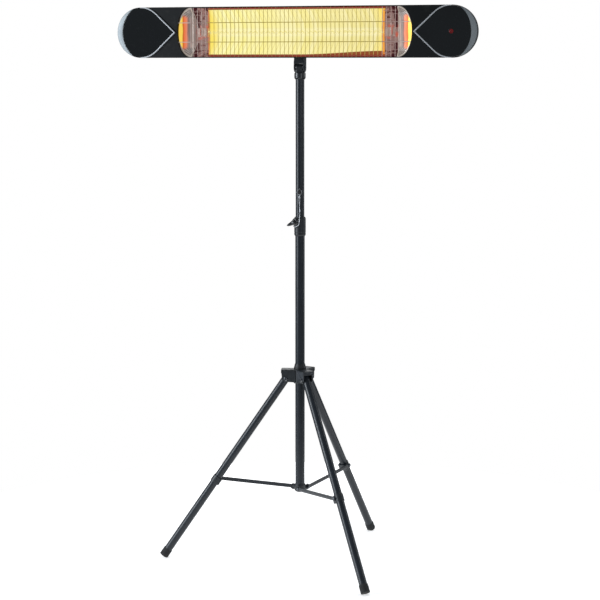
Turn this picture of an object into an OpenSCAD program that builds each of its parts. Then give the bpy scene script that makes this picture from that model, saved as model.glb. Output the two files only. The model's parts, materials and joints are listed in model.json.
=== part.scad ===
// Free-standing infrared bar heater on a folding tripod with a telescoping mast.
// Millimetres. +Z is up, the mast's axis is x = 0, y = 0, the floor is z = 0.
// The heater's long side runs along X and its glowing face looks along -Y.

/* [Mast] */
// Outside diameter of the lower tube
lower_tube_d = 23; // [22:0.2:28]
// Wall of both tubes
tube_wall = 0.7; // [0.6:0.1:0.8]
// Outside diameter of the telescoping tube
upper_tube_d = 21; // [18:0.2:21]
// Height of the lower tube's foot end above the floor
lower_tube_z0 = 176; // [170:1:182]
// Height of the lower tube's top end
lower_tube_z1 = 830; // [790:1:832]
// Height of the telescoping tube's lower end
upper_tube_z0 = 305; // [300:1:500]
// Height of the telescoping tube's top end
upper_tube_z1 = 1199; // [1195:1:1200]
// Height of the clamp collar's lower end
collar_z0 = 808; // [770:1:810]
// Height of the clamp collar
collar_h = 46; // [40:1:50]
// Height of the locking pin
pin_z = 915; // [900:1:930]

/* [Tripod] */
// Radius at which the legs' axes meet the floor
foot_radius = 344; // [330:1:360]
// Height of the leg hinges
hinge_z = 457; // [453:1:461]
// Distance of the leg hinges from the mast's axis
hinge_r = 34; // [33:0.5:36]
// Outside diameter of a leg tube
leg_d = 19.6; // [18:0.2:20]
// Height of the brace rivets on the legs
rivet_z = 201; // [195:1:208]
// Height of the brace pivots on the bottom bracket
brace_z = 183; // [181:1:185]
// Distance of the brace pivots from the mast's axis
brace_r = 17; // [16:0.5:18]
// Height of a brace bar's section
brace_h = 9; // [8:0.5:10]
// Diameter of a rubber foot
foot_d = 22.4; // [21:0.2:24]

/* [Heater head] */
// Length of the heater
head_w = 890; // [860:5:930]
// Height of the heater
head_h = 121; // [118:1:125]
// Height of the heater's centre line
head_z = 1296.5; // [1290:0.5:1300]
// Front face of the housing frame
front_y = -63; // [-70:1:-60]
// Back face of the housing
back_y = -4; // [-6:0.5:-3]
// Height of the tilt axis
tilt_z = 1213; // [1212:0.5:1214]
// Wall of the housing shell
shell_wall = 1.5; // [1.2:0.1:2]
// Radius of the window's rounded ends
window_r = 73; // [70:1:78]
// Centre of the window's rounded ends
window_x = 217; // [210:1:225]
// Spacing of the guard's wires
wire_pitch = 10.4; // [8:0.1:14]

/* [Hidden] */
$fn = 64;
gap = 0.05;              // fit between pieces of one body, and radial running fits
free = 0.3;              // least distance between separate bodies
leg_az = [193.7, 313.7, 73.7];
leg_tilt = atan((foot_radius - hinge_r) / hinge_z);
foot_trim = 1.5;         // how much of the foot's edge is cut flat for the floor
foot_end_z = foot_d / 2 * sin(leg_tilt) - foot_trim;
leg_reach = (hinge_z - foot_end_z) / cos(leg_tilt);
leg_over = 7.5;          // leg tube above its hinge
foot_len = 21;
foot_sole = 4;
rivet_at = (hinge_z - rivet_z) / cos(leg_tilt);
rivet_r = hinge_r + rivet_at * sin(leg_tilt);
brace_len = norm([rivet_r - brace_r, rivet_z - brace_z]);
brace_rise = atan((rivet_z - brace_z) / (rivet_r - brace_r));
brace_y = 13.5;          // braces lie this far to one side of the leg's plane
brace_t = 3;
hub_z0 = 445;
hub_z1 = 480;
hub_plate = 2.4;
hub_liner_r = 13;
lobe_end = 44;
cheek_in = leg_d / 2 + 0.8;
cheek_t = 2.6;
bolt_r = 3;
lower_r = lower_tube_d / 2;
upper_r = upper_tube_d / 2;
front_az = -79;          // the pin points this way, a little to the right of the front
knob_az = 245;           // the clamp screw points this way
hub_knob_az = 133.7;
clamp_z = 843;
hub_knob_z = 460;
shell_y0 = front_y + 3;  // front edge of the housing shell
rim_y = -50;             // the shell is at full size from its front edge to here
end_r = head_h / 2;      // rounded ends of the heater
end_x = head_w / 2 - end_r;
drop_r = 59.5;           // round part of the drop-shaped end panel
drop_x = end_x + 0.5;
drop_a = 41;             // half angle of the drop's point
drop_tip = drop_x - drop_r / sin(drop_a);
trim_w = 3;
crescent_r = 72;
crescent_x = 359;
window_h = 114;
frame_t = 2.95;
panel_t = 3;
socket_z0 = 1185;
socket_h = 16;           // sleeve of the head socket
lamp_y = -34;
lamp_r = 5.5;
lamp_half = 230;
reflector_half = 253;
reflector_lip = 54.5;
reflector_front = -56;
reflector_back = -13;
reflector_end_y = -55.2; // face of the pieces that close the trough's ends
wire_n = 25;
long_wire_z = 23;
plate_zs = [1263, 1292];
screw_xs = [-405, -300, 300, 405];
led_x = 384;
switch_x = 345;
gland_x = 396;
// Route of the pin's retaining wire: right of the mast, in front of it, height
lanyard_route = [[0, 13, 908], [0, 13, 904], [0, 13, 898], [0.2, 13, 890], [0.5, 13, 882],
    [0.8, 13.2, 874], [1, 14, 866], [1, 15.5, 860], [0.6, 17.5, 854], [0.4, 19.2, 849], [0.2, 20, 843],
    [-1, 19, 837.5], [-4.6, 16.6, 833], [-9.4, 13.4, 831], [-13.5, 10.2, 832]];
lanyard_r = 1;

// ---- placing helpers ----

// One leg's upright plane: x points outwards, y round the mast
module leg_plane(i) {
    rotate([0, 0, leg_az[i]]) children();
}

// Along a leg: origin on its hinge, z down the tube, x towards the mast
module along_leg() {
    translate([hinge_r, 0, hinge_z]) rotate([0, 180 - leg_tilt, 0]) children();
}

// Along a brace: origin on its inner pivot, x towards the leg
module along_brace() {
    translate([brace_r, -brace_y, brace_z]) rotate([0, -brace_rise, 0]) children();
}

// Outwards from the mast at a height: z points away from the axis
module outwards(az, z) {
    rotate([0, 0, az]) translate([0, 0, z]) rotate([0, 90, 0]) children();
}

// An outline in the heater's face, given thickness between two depths
module slab(y0, y1) {
    translate([0, y1, head_z]) rotate([90, 0, 0]) linear_extrude(y1 - y0) children();
}

// A round bar along X
module rod_x(r, x0, x1) {
    translate([x0, 0, 0]) rotate([0, 90, 0]) cylinder(r = r, h = x1 - x0);
}

// A round bar along Y
module rod_y(r, y0, y1) {
    translate([0, y0, 0]) rotate([-90, 0, 0]) cylinder(r = r, h = y1 - y0);
}

module pipe(r_out, r_in, z0, z1) {
    translate([0, 0, z0]) difference() {
        cylinder(r = r_out, h = z1 - z0);
        translate([0, 0, -1]) cylinder(r = r_in, h = z1 - z0 + 2);
    }
}

// ---- mast ----

module lower_tube() {
    color("#202326") pipe(lower_r, lower_r - tube_wall, lower_tube_z0, lower_tube_z1);
}

module tube_plug() {
    color("#17191b") {
        translate([0, 0, lower_tube_z0 - 3]) cylinder(r = lower_r, h = 3 - gap);
        translate([0, 0, lower_tube_z0 - 1]) cylinder(r = lower_r - tube_wall - gap, h = 19);
    }
}

module bottom_bracket() {
    color("#202326") difference() {
        union() {
            translate([0, 0, lower_tube_z0]) cylinder(r = lower_r + 2.2, h = 16);
            for (i = [0:2]) leg_plane(i) bracket_ear();
        }
        translate([0, 0, lower_tube_z0 - 1]) cylinder(r = lower_r + gap, h = 18);
        for (i = [0:2]) leg_plane(i) translate([brace_r, 0, brace_z]) rod_y(2.5 + gap, -20, -5);
    }
}

// The flat ear beside which a brace is riveted
module bracket_ear() {
    ear_y = brace_y - brace_t / 2 - free;
    translate([0, -ear_y, brace_z - 6]) cube([brace_r, 2.6, 12]);
    translate([brace_r, -ear_y, brace_z]) rod_y(7.4, 0, 2.6);
}

module bracket_rivets() {
    color("#34383b") for (i = [0:2]) leg_plane(i) translate([brace_r, 0, brace_z]) {
        rod_y(2.5, -brace_y - brace_t / 2 - 1, -brace_y + 4.6);
        rod_y(4.2, -brace_y - brace_t / 2 - 2, -brace_y - brace_t / 2 - free);
    }
}

module clamp_collar() {
    color("#1b1e20") difference() {
        union() {
            translate([0, 0, collar_z0]) cylinder(r1 = 12.6, r2 = 14, h = 3);
            translate([0, 0, collar_z0 + 3]) cylinder(r = 14, h = collar_h - 6);
            translate([0, 0, collar_z0 + collar_h - 3]) cylinder(r1 = 14, r2 = 12.6, h = 3);
            outwards(knob_az, clamp_z) cylinder(r = 6, h = 15);
        }
        translate([0, 0, collar_z0 - 1]) cylinder(r = lower_r + gap, h = lower_tube_z1 - collar_z0 + 1.1);
        translate([0, 0, collar_z0 - 1]) cylinder(r = upper_r + gap, h = collar_h + 2);
        outwards(knob_az, clamp_z) translate([0, 0, 5]) cylinder(r = 3 + gap, h = 12);
    }
}

// Clamp screw with a round head and a beak-shaped lever that points outwards and down
module clamp_knob() {
    color("#1b1e20") outwards(knob_az, clamp_z) {
        translate([0, 0, 12]) cylinder(r = 3, h = 5);
        translate([0, 0, 15.4]) cylinder(r = 9.5, h = 3);
        translate([0, 0, 18]) cylinder(r1 = 9, r2 = 7, h = 3);
        hull() {
            translate([0, 0, 19]) cylinder(r = 6.4, h = 4, $fn = 32);
            translate([6, -9, 27]) cylinder(r = 1.8, h = 3, $fn = 24);
            translate([9, -13, 31]) cylinder(r = 0.7, h = 1.2, $fn = 24);
        }
    }
}

module upper_tube() {
    color("#202326") difference() {
        pipe(upper_r, upper_r - tube_wall, upper_tube_z0, upper_tube_z1);
        outwards(front_az, pin_z) translate([0, 0, -20]) cylinder(r = 3.1, h = 40);
    }
}

module guide_plug() {
    color("#17191b") {
        translate([0, 0, upper_tube_z0 - 12]) cylinder(r = lower_r - tube_wall - gap, h = 12 - gap);
        translate([0, 0, upper_tube_z0 - 1]) cylinder(r = upper_r - tube_wall - gap, h = 20);
    }
}

module lock_pin() {
    color("#17191b") outwards(front_az, pin_z) {
        translate([0, 0, -15]) cylinder(r = 3, h = 30);
        translate([0, 0, 13.8]) cylinder(r = 4.2, h = 3.2);
        translate([0, 0, 17]) cylinder(r1 = 4.2, r2 = 2.8, h = 1.6);
    }
}

// Wire ring under the pin's head that the retaining wire is tied to
module pin_ring() {
    color("silver") outwards(front_az, pin_z)
        translate([0.4, 0, 12.4]) rotate_extrude() translate([5.6, 0]) circle(r = 1.1, $fn = 24);
}

// Places a route point: right, front and height as seen from the pin's side
function seen(p) = [
    p[0] * cos(front_az + 90) + p[1] * cos(front_az),
    p[0] * sin(front_az + 90) + p[1] * sin(front_az),
    p[2]];
lanyard_sides = 8;
lanyard_rings = len(lanyard_route);
// Unit direction of the route at a point
function heading(i) =
    let (a = lanyard_route[max(i - 1, 0)], b = lanyard_route[min(i + 1, lanyard_rings - 1)])
    (b - a) / norm(b - a);
// One point of the ring of corners round route point i
function ring_point(i, k) =
    let (t = heading(i), u = cross(t, [0, 1, 0]), side = u / norm(u), up = cross(side, t),
         a = 360 * k / lanyard_sides)
    seen(lanyard_route[i] + lanyard_r * (side * cos(a) + up * sin(a)));

module lanyard() {
    points = [for (i = [0:lanyard_rings - 1]) for (k = [0:lanyard_sides - 1]) ring_point(i, k)];
    sides = [for (i = [0:lanyard_rings - 2]) for (k = [0:lanyard_sides - 1])
        let (n = (k + 1) % lanyard_sides, a = i * lanyard_sides, b = a + lanyard_sides)
        [a + k, a + n, b + n, b + k]];
    start = [[for (k = [0:lanyard_sides - 1]) lanyard_sides - 1 - k]];
    finish = [[for (k = [0:lanyard_sides - 1]) (lanyard_rings - 1) * lanyard_sides + k]];
    color("silver") polyhedron(points, concat(sides, start, finish));
}

// ---- tripod ----

// Plan of the hub: three blunt lobes round the mast
module hub_plan(half, reach) {
    for (az = leg_az) rotate(az) {
        translate([0, -half]) square([reach - 4, 2 * half]);
        translate([reach - 8, -half + 4]) square([8, 2 * half - 8]);
        for (side = [-1, 1]) translate([reach - 4, side * (half - 4)]) circle(r = 4);
    }
}

module hub_crown() {
    color("#1b1e20") difference() {
        union() {
            translate([0, 0, hub_z1 - hub_plate]) linear_extrude(hub_plate) hub_plan(14.6, lobe_end + 2);
            for (i = [0:2]) leg_plane(i) for (side = [0, 1]) mirror([0, side, 0])
                translate([10, cheek_in, hub_z0]) cube([lobe_end - 10, cheek_t, hub_z1 - hub_z0 - 1]);
            translate([0, 0, hub_z0]) cylinder(r = 15.5, h = hub_z1 - hub_z0 - 1);
        }
        translate([0, 0, hub_z0 - 1]) cylinder(r = hub_liner_r, h = hub_z1 - hub_z0 + 2);
        for (i = [0:2]) leg_plane(i) translate([hinge_r, 0, hinge_z]) rod_y(bolt_r + gap, -20, 20);
        outwards(hub_knob_az, hub_knob_z) translate([0, 0, 8]) cylinder(r = 3 + gap, h = 12);
    }
}

module hub_liner() {
    color("#17191b") difference() {
        pipe(hub_liner_r - gap, lower_r + gap, hub_z0, hub_z1);
        outwards(hub_knob_az, hub_knob_z) translate([0, 0, 8]) cylinder(r = 3 + gap, h = 12);
    }
}

// Tapered ring that closes the hub against the mast
module hub_ring() {
    color("#17191b") translate([0, 0, hub_z1 + gap]) difference() {
        union() {
            cylinder(r = 15, h = 5);
            translate([0, 0, 5]) cylinder(r1 = 15, r2 = 12.8, h = 8);
        }
        translate([0, 0, -1]) cylinder(r = lower_r + gap, h = 16);
    }
}

module hub_bolts() {
    reach = cheek_in + cheek_t;
    color("#34383b") for (i = [0:2]) leg_plane(i) translate([hinge_r, 0, hinge_z]) {
        rod_y(bolt_r, -reach - 4, reach + 1);
        rod_y(5, reach + gap, reach + 2.6);
        translate([0, -reach - gap, 0]) rotate([90, 0, 0]) cylinder(r = 5.6, h = 3, $fn = 6);
    }
}

// Lobed thumb knob that locks the hub on the lower tube
module hub_knob() {
    color("#17191b") outwards(hub_knob_az, hub_knob_z) {
        translate([0, 0, 12.4]) cylinder(r = 3, h = 8);
        translate([0, 0, 18.2]) cylinder(r = 4.2, h = 4);
        translate([0, 0, 22]) linear_extrude(13) {
            circle(r = 7.4);
            for (a = [0:60:300]) rotate(a) translate([6.6, 0]) circle(r = 2.4, $fn = 24);
        }
    }
}

module leg_tube(i) {
    r = leg_d / 2;
    color("#202326") leg_plane(i) along_leg() difference() {
        translate([0, 0, -leg_over]) cylinder(r = r, h = leg_over + leg_reach - foot_sole - gap);
        translate([0, 0, -leg_over - 1]) cylinder(r = r - 1, h = leg_over + leg_reach);
        rod_y(bolt_r + gap, -20, 20);
    }
}

module foot(i) {
    color("#141516") leg_plane(i) difference() {
        along_leg() translate([0, 0, leg_reach - foot_len]) difference() {
            union() {
                cylinder(r1 = foot_d / 2 - 0.8, r2 = foot_d / 2, h = 4);
                translate([0, 0, 4]) cylinder(r = foot_d / 2, h = foot_len - 4);
            }
            translate([0, 0, -1]) cylinder(r = leg_d / 2 + gap, h = foot_len - foot_sole + 1);
        }
        translate([0, -30, -30]) cube([foot_radius + 30, 60, 30]);
    }
}

// Clip round the leg where its brace is riveted
module leg_collar(i) {
    clip_r = brace_y - brace_t / 2 - 0.5;
    color("#1b1e20") leg_plane(i) along_leg() translate([0, 0, rivet_at - 9]) difference() {
        union() {
            cylinder(r = clip_r, h = 18);
            translate([0, -clip_r, 0]) cube([12.5, 2 * clip_r, 18]);
        }
        translate([0, 0, -1]) cylinder(r = leg_d / 2 + gap, h = 20);
    }
}

module brace(i) {
    color("#202326") leg_plane(i) along_brace() difference() {
        union() {
            translate([0, -brace_t / 2, -brace_h / 2]) cube([brace_len, brace_t, brace_h]);
            for (x = [0, brace_len]) translate([x, 0, 0]) rod_y(brace_h / 2 + 0.8, -brace_t / 2, brace_t / 2);
        }
        for (x = [0, brace_len]) translate([x, 0, 0]) rod_y(2.5 + gap, -5, 5);
    }
}

module brace_rivet(i) {
    color("#34383b") leg_plane(i) along_brace() translate([brace_len, 0, 0]) {
        rod_y(2.5, -brace_t / 2 - 1, brace_t / 2 + 0.2);
        rod_y(4.2, -brace_t / 2 - 2, -brace_t / 2 - gap);
    }
}

// ---- tilting head joint ----

module head_socket() {
    color("#1b1e20") difference() {
        union() {
            translate([0, 0, socket_z0]) cylinder(r1 = 12, r2 = 13.7, h = 4);
            translate([0, 0, socket_z0 + 4]) cylinder(r = 13.7, h = socket_h - 4);
            translate([-9.5, -9, socket_z0 + socket_h - 1]) cube([19, 18, tilt_z - socket_z0 - socket_h + 1]);
            translate([0, 0, tilt_z]) rod_x(11, -10, 10);
        }
        translate([0, 0, socket_z0 - 1]) cylinder(r = upper_r + gap, h = upper_tube_z1 - socket_z0 + 1.3);
        translate([0, 0, tilt_z]) rod_x(bolt_r + gap, -12, 12);
        outwards(90, socket_z0 + 8) cylinder(r = 2.5 + gap, h = 20);
    }
}

module socket_screw() {
    color("#34383b") outwards(90, socket_z0 + 8) {
        translate([0, 0, upper_r + free]) cylinder(r = 2.5, h = 4);
        translate([0, 0, 14]) cylinder(r = 4.5, h = 2.5);
        translate([0, 0, 13]) cylinder(r = 2.5, h = 2);
    }
}

module tilt_bolt() {
    color("#34383b") translate([0, 0, tilt_z]) {
        rod_x(bolt_r, -13.2, 13.2);
        rod_x(5.2, 13, 14.4);
        rod_x(5.2, -14.4, -13);
    }
}

// ---- heater head ----

// Outline of the whole heater: a bar with half-round ends
module bar_outline(r) {
    translate([-end_x, -r]) square([2 * end_x, 2 * r]);
    for (side = [-1, 1]) translate([side * end_x, 0]) circle(r = r, $fn = 128);
}

// Opening in front of the lamp
module window_outline(grow) {
    intersection() {
        union() {
            translate([-window_x, -window_r]) square([2 * window_x, 2 * window_r]);
            for (side = [-1, 1]) translate([side * window_x, 0]) circle(r = window_r + grow, $fn = 128);
        }
        square([head_w, window_h + 2 * grow], center = true);
    }
}

// Drop-shaped panel outline on the right end
module drop_outline(grow) {
    r = drop_r + grow;
    tip = drop_tip - grow / sin(drop_a);
    shoulder = [drop_x - r * sin(drop_a), r * cos(drop_a)];
    translate([drop_x, 0]) circle(r = r, $fn = 128);
    polygon([[tip, 0], [shoulder[0], -shoulder[1]], shoulder]);
}

module crescent_cut(r) {
    translate([crescent_x, 0]) circle(r = r, $fn = 128);
}

// Depth and half height of the housing's section, widest at the front
function shell_section(inset) = [[shell_y0, 0], [shell_y0, end_r - inset], [rim_y, end_r - inset],
    [-12, 50 - inset], [back_y - inset, 43 - inset], [back_y - inset, 0]];

// The housing as a solid: a straight middle and two turned ends
module shell_solid(inset) {
    turned = [for (p = shell_section(inset)) [p[1], p[0]]];
    translate([0, 0, head_z]) {
        for (side = [-1, 1]) translate([side * end_x, 0, 0]) rotate([-90, 0, 0])
            rotate_extrude($fn = 128) polygon(turned);
        for (up = [0, 1]) mirror([0, 0, up]) translate([-end_x, 0, 0]) rotate([90, 0, 90])
            linear_extrude(2 * end_x) polygon(shell_section(inset));
    }
}

module housing_shell() {
    color("#1c1f22") difference() {
        shell_solid(0);
        translate([0, -0.01, 0]) shell_solid(shell_wall);
        for (k = [-14:14]) if (abs(k) > 2)
            translate([k * 16, back_y - 3, head_z - 12]) cube([5, 6, 34]);
        for (x = [-20, 20]) for (z = plate_zs) translate([x, 0, z]) rod_y(2 + gap, -9, 3);
        translate([switch_x - 8, back_y - 3, head_z - 11.5]) cube([16, 6, 23]);
        translate([gland_x, 0, head_z]) rod_y(7 + gap, -9, 3);
        for (x = screw_xs) translate([x, 0, head_z - 20]) rod_y(1.8 + gap, -14, 3);
    }
}

module front_frame() {
    color("#1c1f22") difference() {
        slab(front_y, front_y + frame_t) bar_outline(end_r);
        slab(front_y - 1, front_y + frame_t + 1) window_outline(0);
        translate([led_x, 0, head_z]) rod_y(3 + gap, -70, -50);
    }
}

module housing_screws() {
    color("#3a3d40") for (x = screw_xs) translate([x, 0, head_z - 20]) {
        rod_y(1.8, -12, back_y + 1);
        rod_y(3.4, back_y + gap, back_y + 1.8);
    }
}

module end_panel() {
    color("#0e1011") difference() {
        slab(front_y - panel_t, front_y - gap) intersection() {
            drop_outline(-trim_w - gap);
            crescent_cut(crescent_r - gap);
        }
        translate([led_x, 0, head_z]) rod_y(3 + gap, -70, -50);
    }
}

module trim() {
    color("silver") slab(front_y - panel_t - 0.5, front_y - gap) intersection() {
        difference() {
            drop_outline(0);
            drop_outline(-trim_w);
        }
        translate([drop_tip - 5, -70]) square([drop_x - drop_tip + 5, 140]);
    }
}

module crescent() {
    color("#9aa0a4") difference() {
        intersection() {
            translate([end_x, front_y - gap, head_z]) rotate([90, 0, 0])
                cylinder(r1 = end_r - 0.3, r2 = end_r - 14, h = panel_t, $fn = 128);
            translate([drop_x, front_y - 10, head_z - 70]) cube([80, 20, 140]);
        }
        slab(front_y - 10, front_y + 1) crescent_cut(crescent_r);
    }
}

// Depth of the reflector's trough at a height
function trough(z) = reflector_back + (reflector_front - reflector_back) * pow(z / reflector_lip, 2);
trough_steps = 12;
trough_t = 0.9;

module reflector() {
    heights = [for (k = [-trough_steps:trough_steps]) reflector_lip * k / trough_steps];
    face = [for (z = heights) [trough(z), z]];
    back = [for (k = [len(heights) - 1:-1:0]) [trough(heights[k]) + trough_t, heights[k]]];
    color("#d9c48a") translate([-reflector_half, 0, head_z])
        rotate([90, 0, 90]) linear_extrude(2 * reflector_half) polygon(concat(face, back));
}

module reflector_ends() {
    color("#b9a999") for (side = [0, 1]) mirror([side, 0, 0])
        slab(reflector_end_y, reflector_end_y + 1.2) intersection() {
            window_outline(-0.5);
            translate([reflector_half + 0.3, -70]) square([60, 140]);
        }
}

module quartz_tube() {
    color("#ffe9a0") translate([0, lamp_y, head_z]) difference() {
        rod_x(lamp_r, -lamp_half, lamp_half);
        rod_x(lamp_r - 1, -lamp_half - 1, lamp_half + 1);
    }
}

module carbon_filament() {
    color("#ffb347") translate([0, lamp_y, head_z]) rod_x(2.4, -lamp_half + 4, lamp_half - 4);
}

// Ceramic end holders on their metal feet
module lamp_holders() {
    color("#c9bcae") for (side = [0, 1]) mirror([side, 0, 0]) translate([0, lamp_y, head_z]) {
        difference() {
            translate([lamp_half - 8, -9, -11]) cube([22, 18, 22]);
            rod_x(lamp_r + gap, lamp_half - 9, lamp_half + gap);
        }
        translate([lamp_half + 4, 8, -8]) cube([6, 11, 16]);
    }
}

// Upright wires welded on two long wires
module guard_grille() {
    wire_y = front_y + frame_t + 2;
    wire_half = end_r - shell_wall - 0.2;
    long_wire_half = window_x + sqrt(pow(window_r, 2) - pow(long_wire_z, 2)) + 1.5;
    color("#8d8365") translate([0, 0, head_z]) {
        for (k = [-wire_n:wire_n]) translate([k * wire_pitch, wire_y, -wire_half])
            cylinder(r = 0.8, h = 2 * wire_half, $fn = 16);
        for (z = [-long_wire_z, long_wire_z]) translate([0, wire_y + 1.6, z])
            rod_x(1, -long_wire_half, long_wire_half);
    }
}

module indicator_lens() {
    color("#c02020") translate([led_x, 0, head_z]) rod_y(3, front_y - panel_t - 0.6, front_y + 14);
}

module circuit_board() {
    color("#2d6a3e") {
        translate([322, -24, head_z - 30]) cube([90, 1.6, 60]);
        translate([led_x - 4, -48.9, head_z - 4]) cube([8, 24.8, 8]);
        translate([330, -40, head_z - 24]) cube([24, 15.9, 20]);
    }
}

module terminal_block() {
    color("#d8d4c8") difference() {
        translate([286, -22, head_z - 14]) cube([18, 14, 40]);
        for (z = [-8:7:20]) translate([295, -22, head_z + z]) rod_y(1.6, -1, 6);
    }
}

// Heat-proof leads behind the reflector, from the terminals to both lamp ends
module lamp_leads() {
    color("#b8b2a6") {
        translate([0, -9, head_z + 10]) rod_x(1.2, -252, 285.9);
        translate([0, -9, head_z - 10]) rod_x(1.2, 252, 285.9);
        for (p = [[-251, 10], [253, -10]]) translate([p[0], 0, head_z + p[1]]) rod_y(1.2, -12, -8);
    }
}

module cable_gland() {
    color("#17191b") translate([gland_x, 0, head_z]) difference() {
        union() {
            rod_y(7, -16, 6);
            rotate([-90, 0, 0]) cylinder(r = 10, h = 5.5, $fn = 6);
            rod_y(10.5, back_y + gap, 0);
            rod_y(10, -10, back_y - shell_wall - gap);
            translate([0, 5.5, 0]) rotate([-90, 0, 0]) cylinder(r1 = 7.6, r2 = 5, h = 7);
        }
        rod_y(3.6, -20, 20);
    }
}

module switch_frame() {
    color("#17191b") difference() {
        union() {
            translate([switch_x - 10.5, back_y + gap, head_z - 14]) cube([21, 2, 28]);
            translate([switch_x - 7.9, -20, head_z - 11.4]) cube([15.8, 18, 22.8]);
        }
        translate([switch_x - 6.4, -18, head_z - 10]) cube([12.8, 20, 20]);
    }
}

// Two-position rocker, a round segment with a shallow V face, pressed in at the top
module power_rocker() {
    color("#0e1011") translate([switch_x, -9, head_z]) rotate([8, 0, 0]) difference() {
        intersection() {
            rod_x(9.4, -6, 6);
            translate([-7, -3, -12]) cube([14, 20, 24]);
        }
        for (side = [-1, 1]) translate([-8, 7.4, 0]) rotate([side * 8, 0, 0]) translate([0, 0, -12]) cube([16, 6, 24]);
    }
}

// Fork that carries the heater on the tilt bolt
module tilt_bracket() {
    color("#1b1e20") difference() {
        union() {
            for (side = [0, 1]) mirror([side, 0, 0]) translate([10.3, 0, tilt_z]) rotate([90, 0, 90])
                linear_extrude(2.4) {
                    circle(r = 11.4);
                    polygon([[-11.2, 2], [-3.9, 43.5], [-3.9, 80], [1.5, 80], [11, 30], [11.3, 0]]);
                }
            translate([-30, back_y + gap, 1256]) cube([60, 2.4, 44]);
        }
        translate([0, 0, tilt_z]) rod_x(bolt_r + gap, -20, 20);
        for (x = [-20, 20]) for (z = plate_zs) translate([x, 0, z]) rod_y(2 + gap, -9, 5);
    }
}

module bracket_screws() {
    color("#3a3d40") for (x = [-20, 20]) for (z = plate_zs) translate([x, 0, z]) {
        rod_y(2, -8.5, back_y + 3);
        rod_y(3.8, back_y + 2.4 + 2 * gap, back_y + 4.4);
    }
}

lower_tube();
tube_plug();
bottom_bracket();
bracket_rivets();
clamp_collar();
clamp_knob();
upper_tube();
guide_plug();
lock_pin();
pin_ring();
lanyard();
hub_crown();
hub_liner();
hub_ring();
hub_bolts();
hub_knob();
leg_tube(0);  // leg_left
leg_tube(1);  // leg_front
leg_tube(2);  // leg_back
foot(0);  // foot_left
foot(1);  // foot_front
foot(2);  // foot_back
leg_collar(0);  // leg_collar_left
leg_collar(1);  // leg_collar_front
leg_collar(2);  // leg_collar_back
brace(0);  // brace_left
brace(1);  // brace_front
brace(2);  // brace_back
brace_rivet(0);  // brace_rivet_left
brace_rivet(1);  // brace_rivet_front
brace_rivet(2);  // brace_rivet_back
head_socket();
socket_screw();
tilt_bolt();
tilt_bracket();
bracket_screws();
housing_shell();
front_frame();
housing_screws();
mirror([1, 0, 0]) end_panel();  // end_panel_left
end_panel();  // end_panel_right
mirror([1, 0, 0]) trim();  // trim_left
trim();  // trim_right
mirror([1, 0, 0]) crescent();  // crescent_left
crescent();  // crescent_right
reflector();
reflector_ends();
quartz_tube();
carbon_filament();
lamp_holders();
guard_grille();
indicator_lens();
circuit_board();
terminal_block();
lamp_leads();
cable_gland();
switch_frame();
power_rocker();
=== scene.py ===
"""Looks for the free-standing infrared bar heater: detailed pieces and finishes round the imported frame."""

import json
import math

import bmesh
import bpy
from mathutils import Matrix, Vector
from mathutils.geometry import tessellate_polygon


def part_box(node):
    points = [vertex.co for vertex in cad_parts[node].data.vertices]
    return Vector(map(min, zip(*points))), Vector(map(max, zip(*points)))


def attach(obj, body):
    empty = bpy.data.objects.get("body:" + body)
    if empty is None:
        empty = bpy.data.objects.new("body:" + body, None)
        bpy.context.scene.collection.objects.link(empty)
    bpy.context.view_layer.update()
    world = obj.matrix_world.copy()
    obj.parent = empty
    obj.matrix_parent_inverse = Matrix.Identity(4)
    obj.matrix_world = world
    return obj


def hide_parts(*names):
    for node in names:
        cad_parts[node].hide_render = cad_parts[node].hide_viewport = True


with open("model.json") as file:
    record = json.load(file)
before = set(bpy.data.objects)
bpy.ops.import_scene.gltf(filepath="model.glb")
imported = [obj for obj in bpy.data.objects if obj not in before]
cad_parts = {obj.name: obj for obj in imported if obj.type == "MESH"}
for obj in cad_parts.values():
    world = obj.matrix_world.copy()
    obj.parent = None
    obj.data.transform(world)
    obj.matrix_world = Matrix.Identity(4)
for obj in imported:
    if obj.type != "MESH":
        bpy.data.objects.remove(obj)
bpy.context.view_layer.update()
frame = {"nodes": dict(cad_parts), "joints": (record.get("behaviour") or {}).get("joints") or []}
MM = 0.001
TURN = 2 * math.pi


# ---- camera ----

CAMERA_AZIMUTH = math.radians(17.19)
CAMERA_PITCH = math.radians(7.53)
CAMERA_DISTANCE = 4.350
CAMERA_HEIGHT = 1.2253
CAMERA_LENS = 107.86
CAMERA_SENSOR = 36
CAMERA_REACH = 100

camera = bpy.data.objects.new("camera", bpy.data.cameras.new("camera"))
bpy.context.scene.collection.objects.link(camera)
camera.location = (CAMERA_DISTANCE * math.sin(CAMERA_AZIMUTH),
                   -CAMERA_DISTANCE * math.cos(CAMERA_AZIMUTH), CAMERA_HEIGHT)
camera.rotation_euler = (math.pi / 2 - CAMERA_PITCH, 0, CAMERA_AZIMUTH)
camera.data.lens = CAMERA_LENS
camera.data.sensor_width = CAMERA_SENSOR
camera.data.clip_end = CAMERA_REACH
bpy.context.scene.camera = camera


# ---- sizes in millimetres, worked out from the frame ----

def extent(node):
    """Lowest and highest corner of a CAD node in millimetres."""
    low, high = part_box(node)
    return low / MM, high / MM


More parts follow.
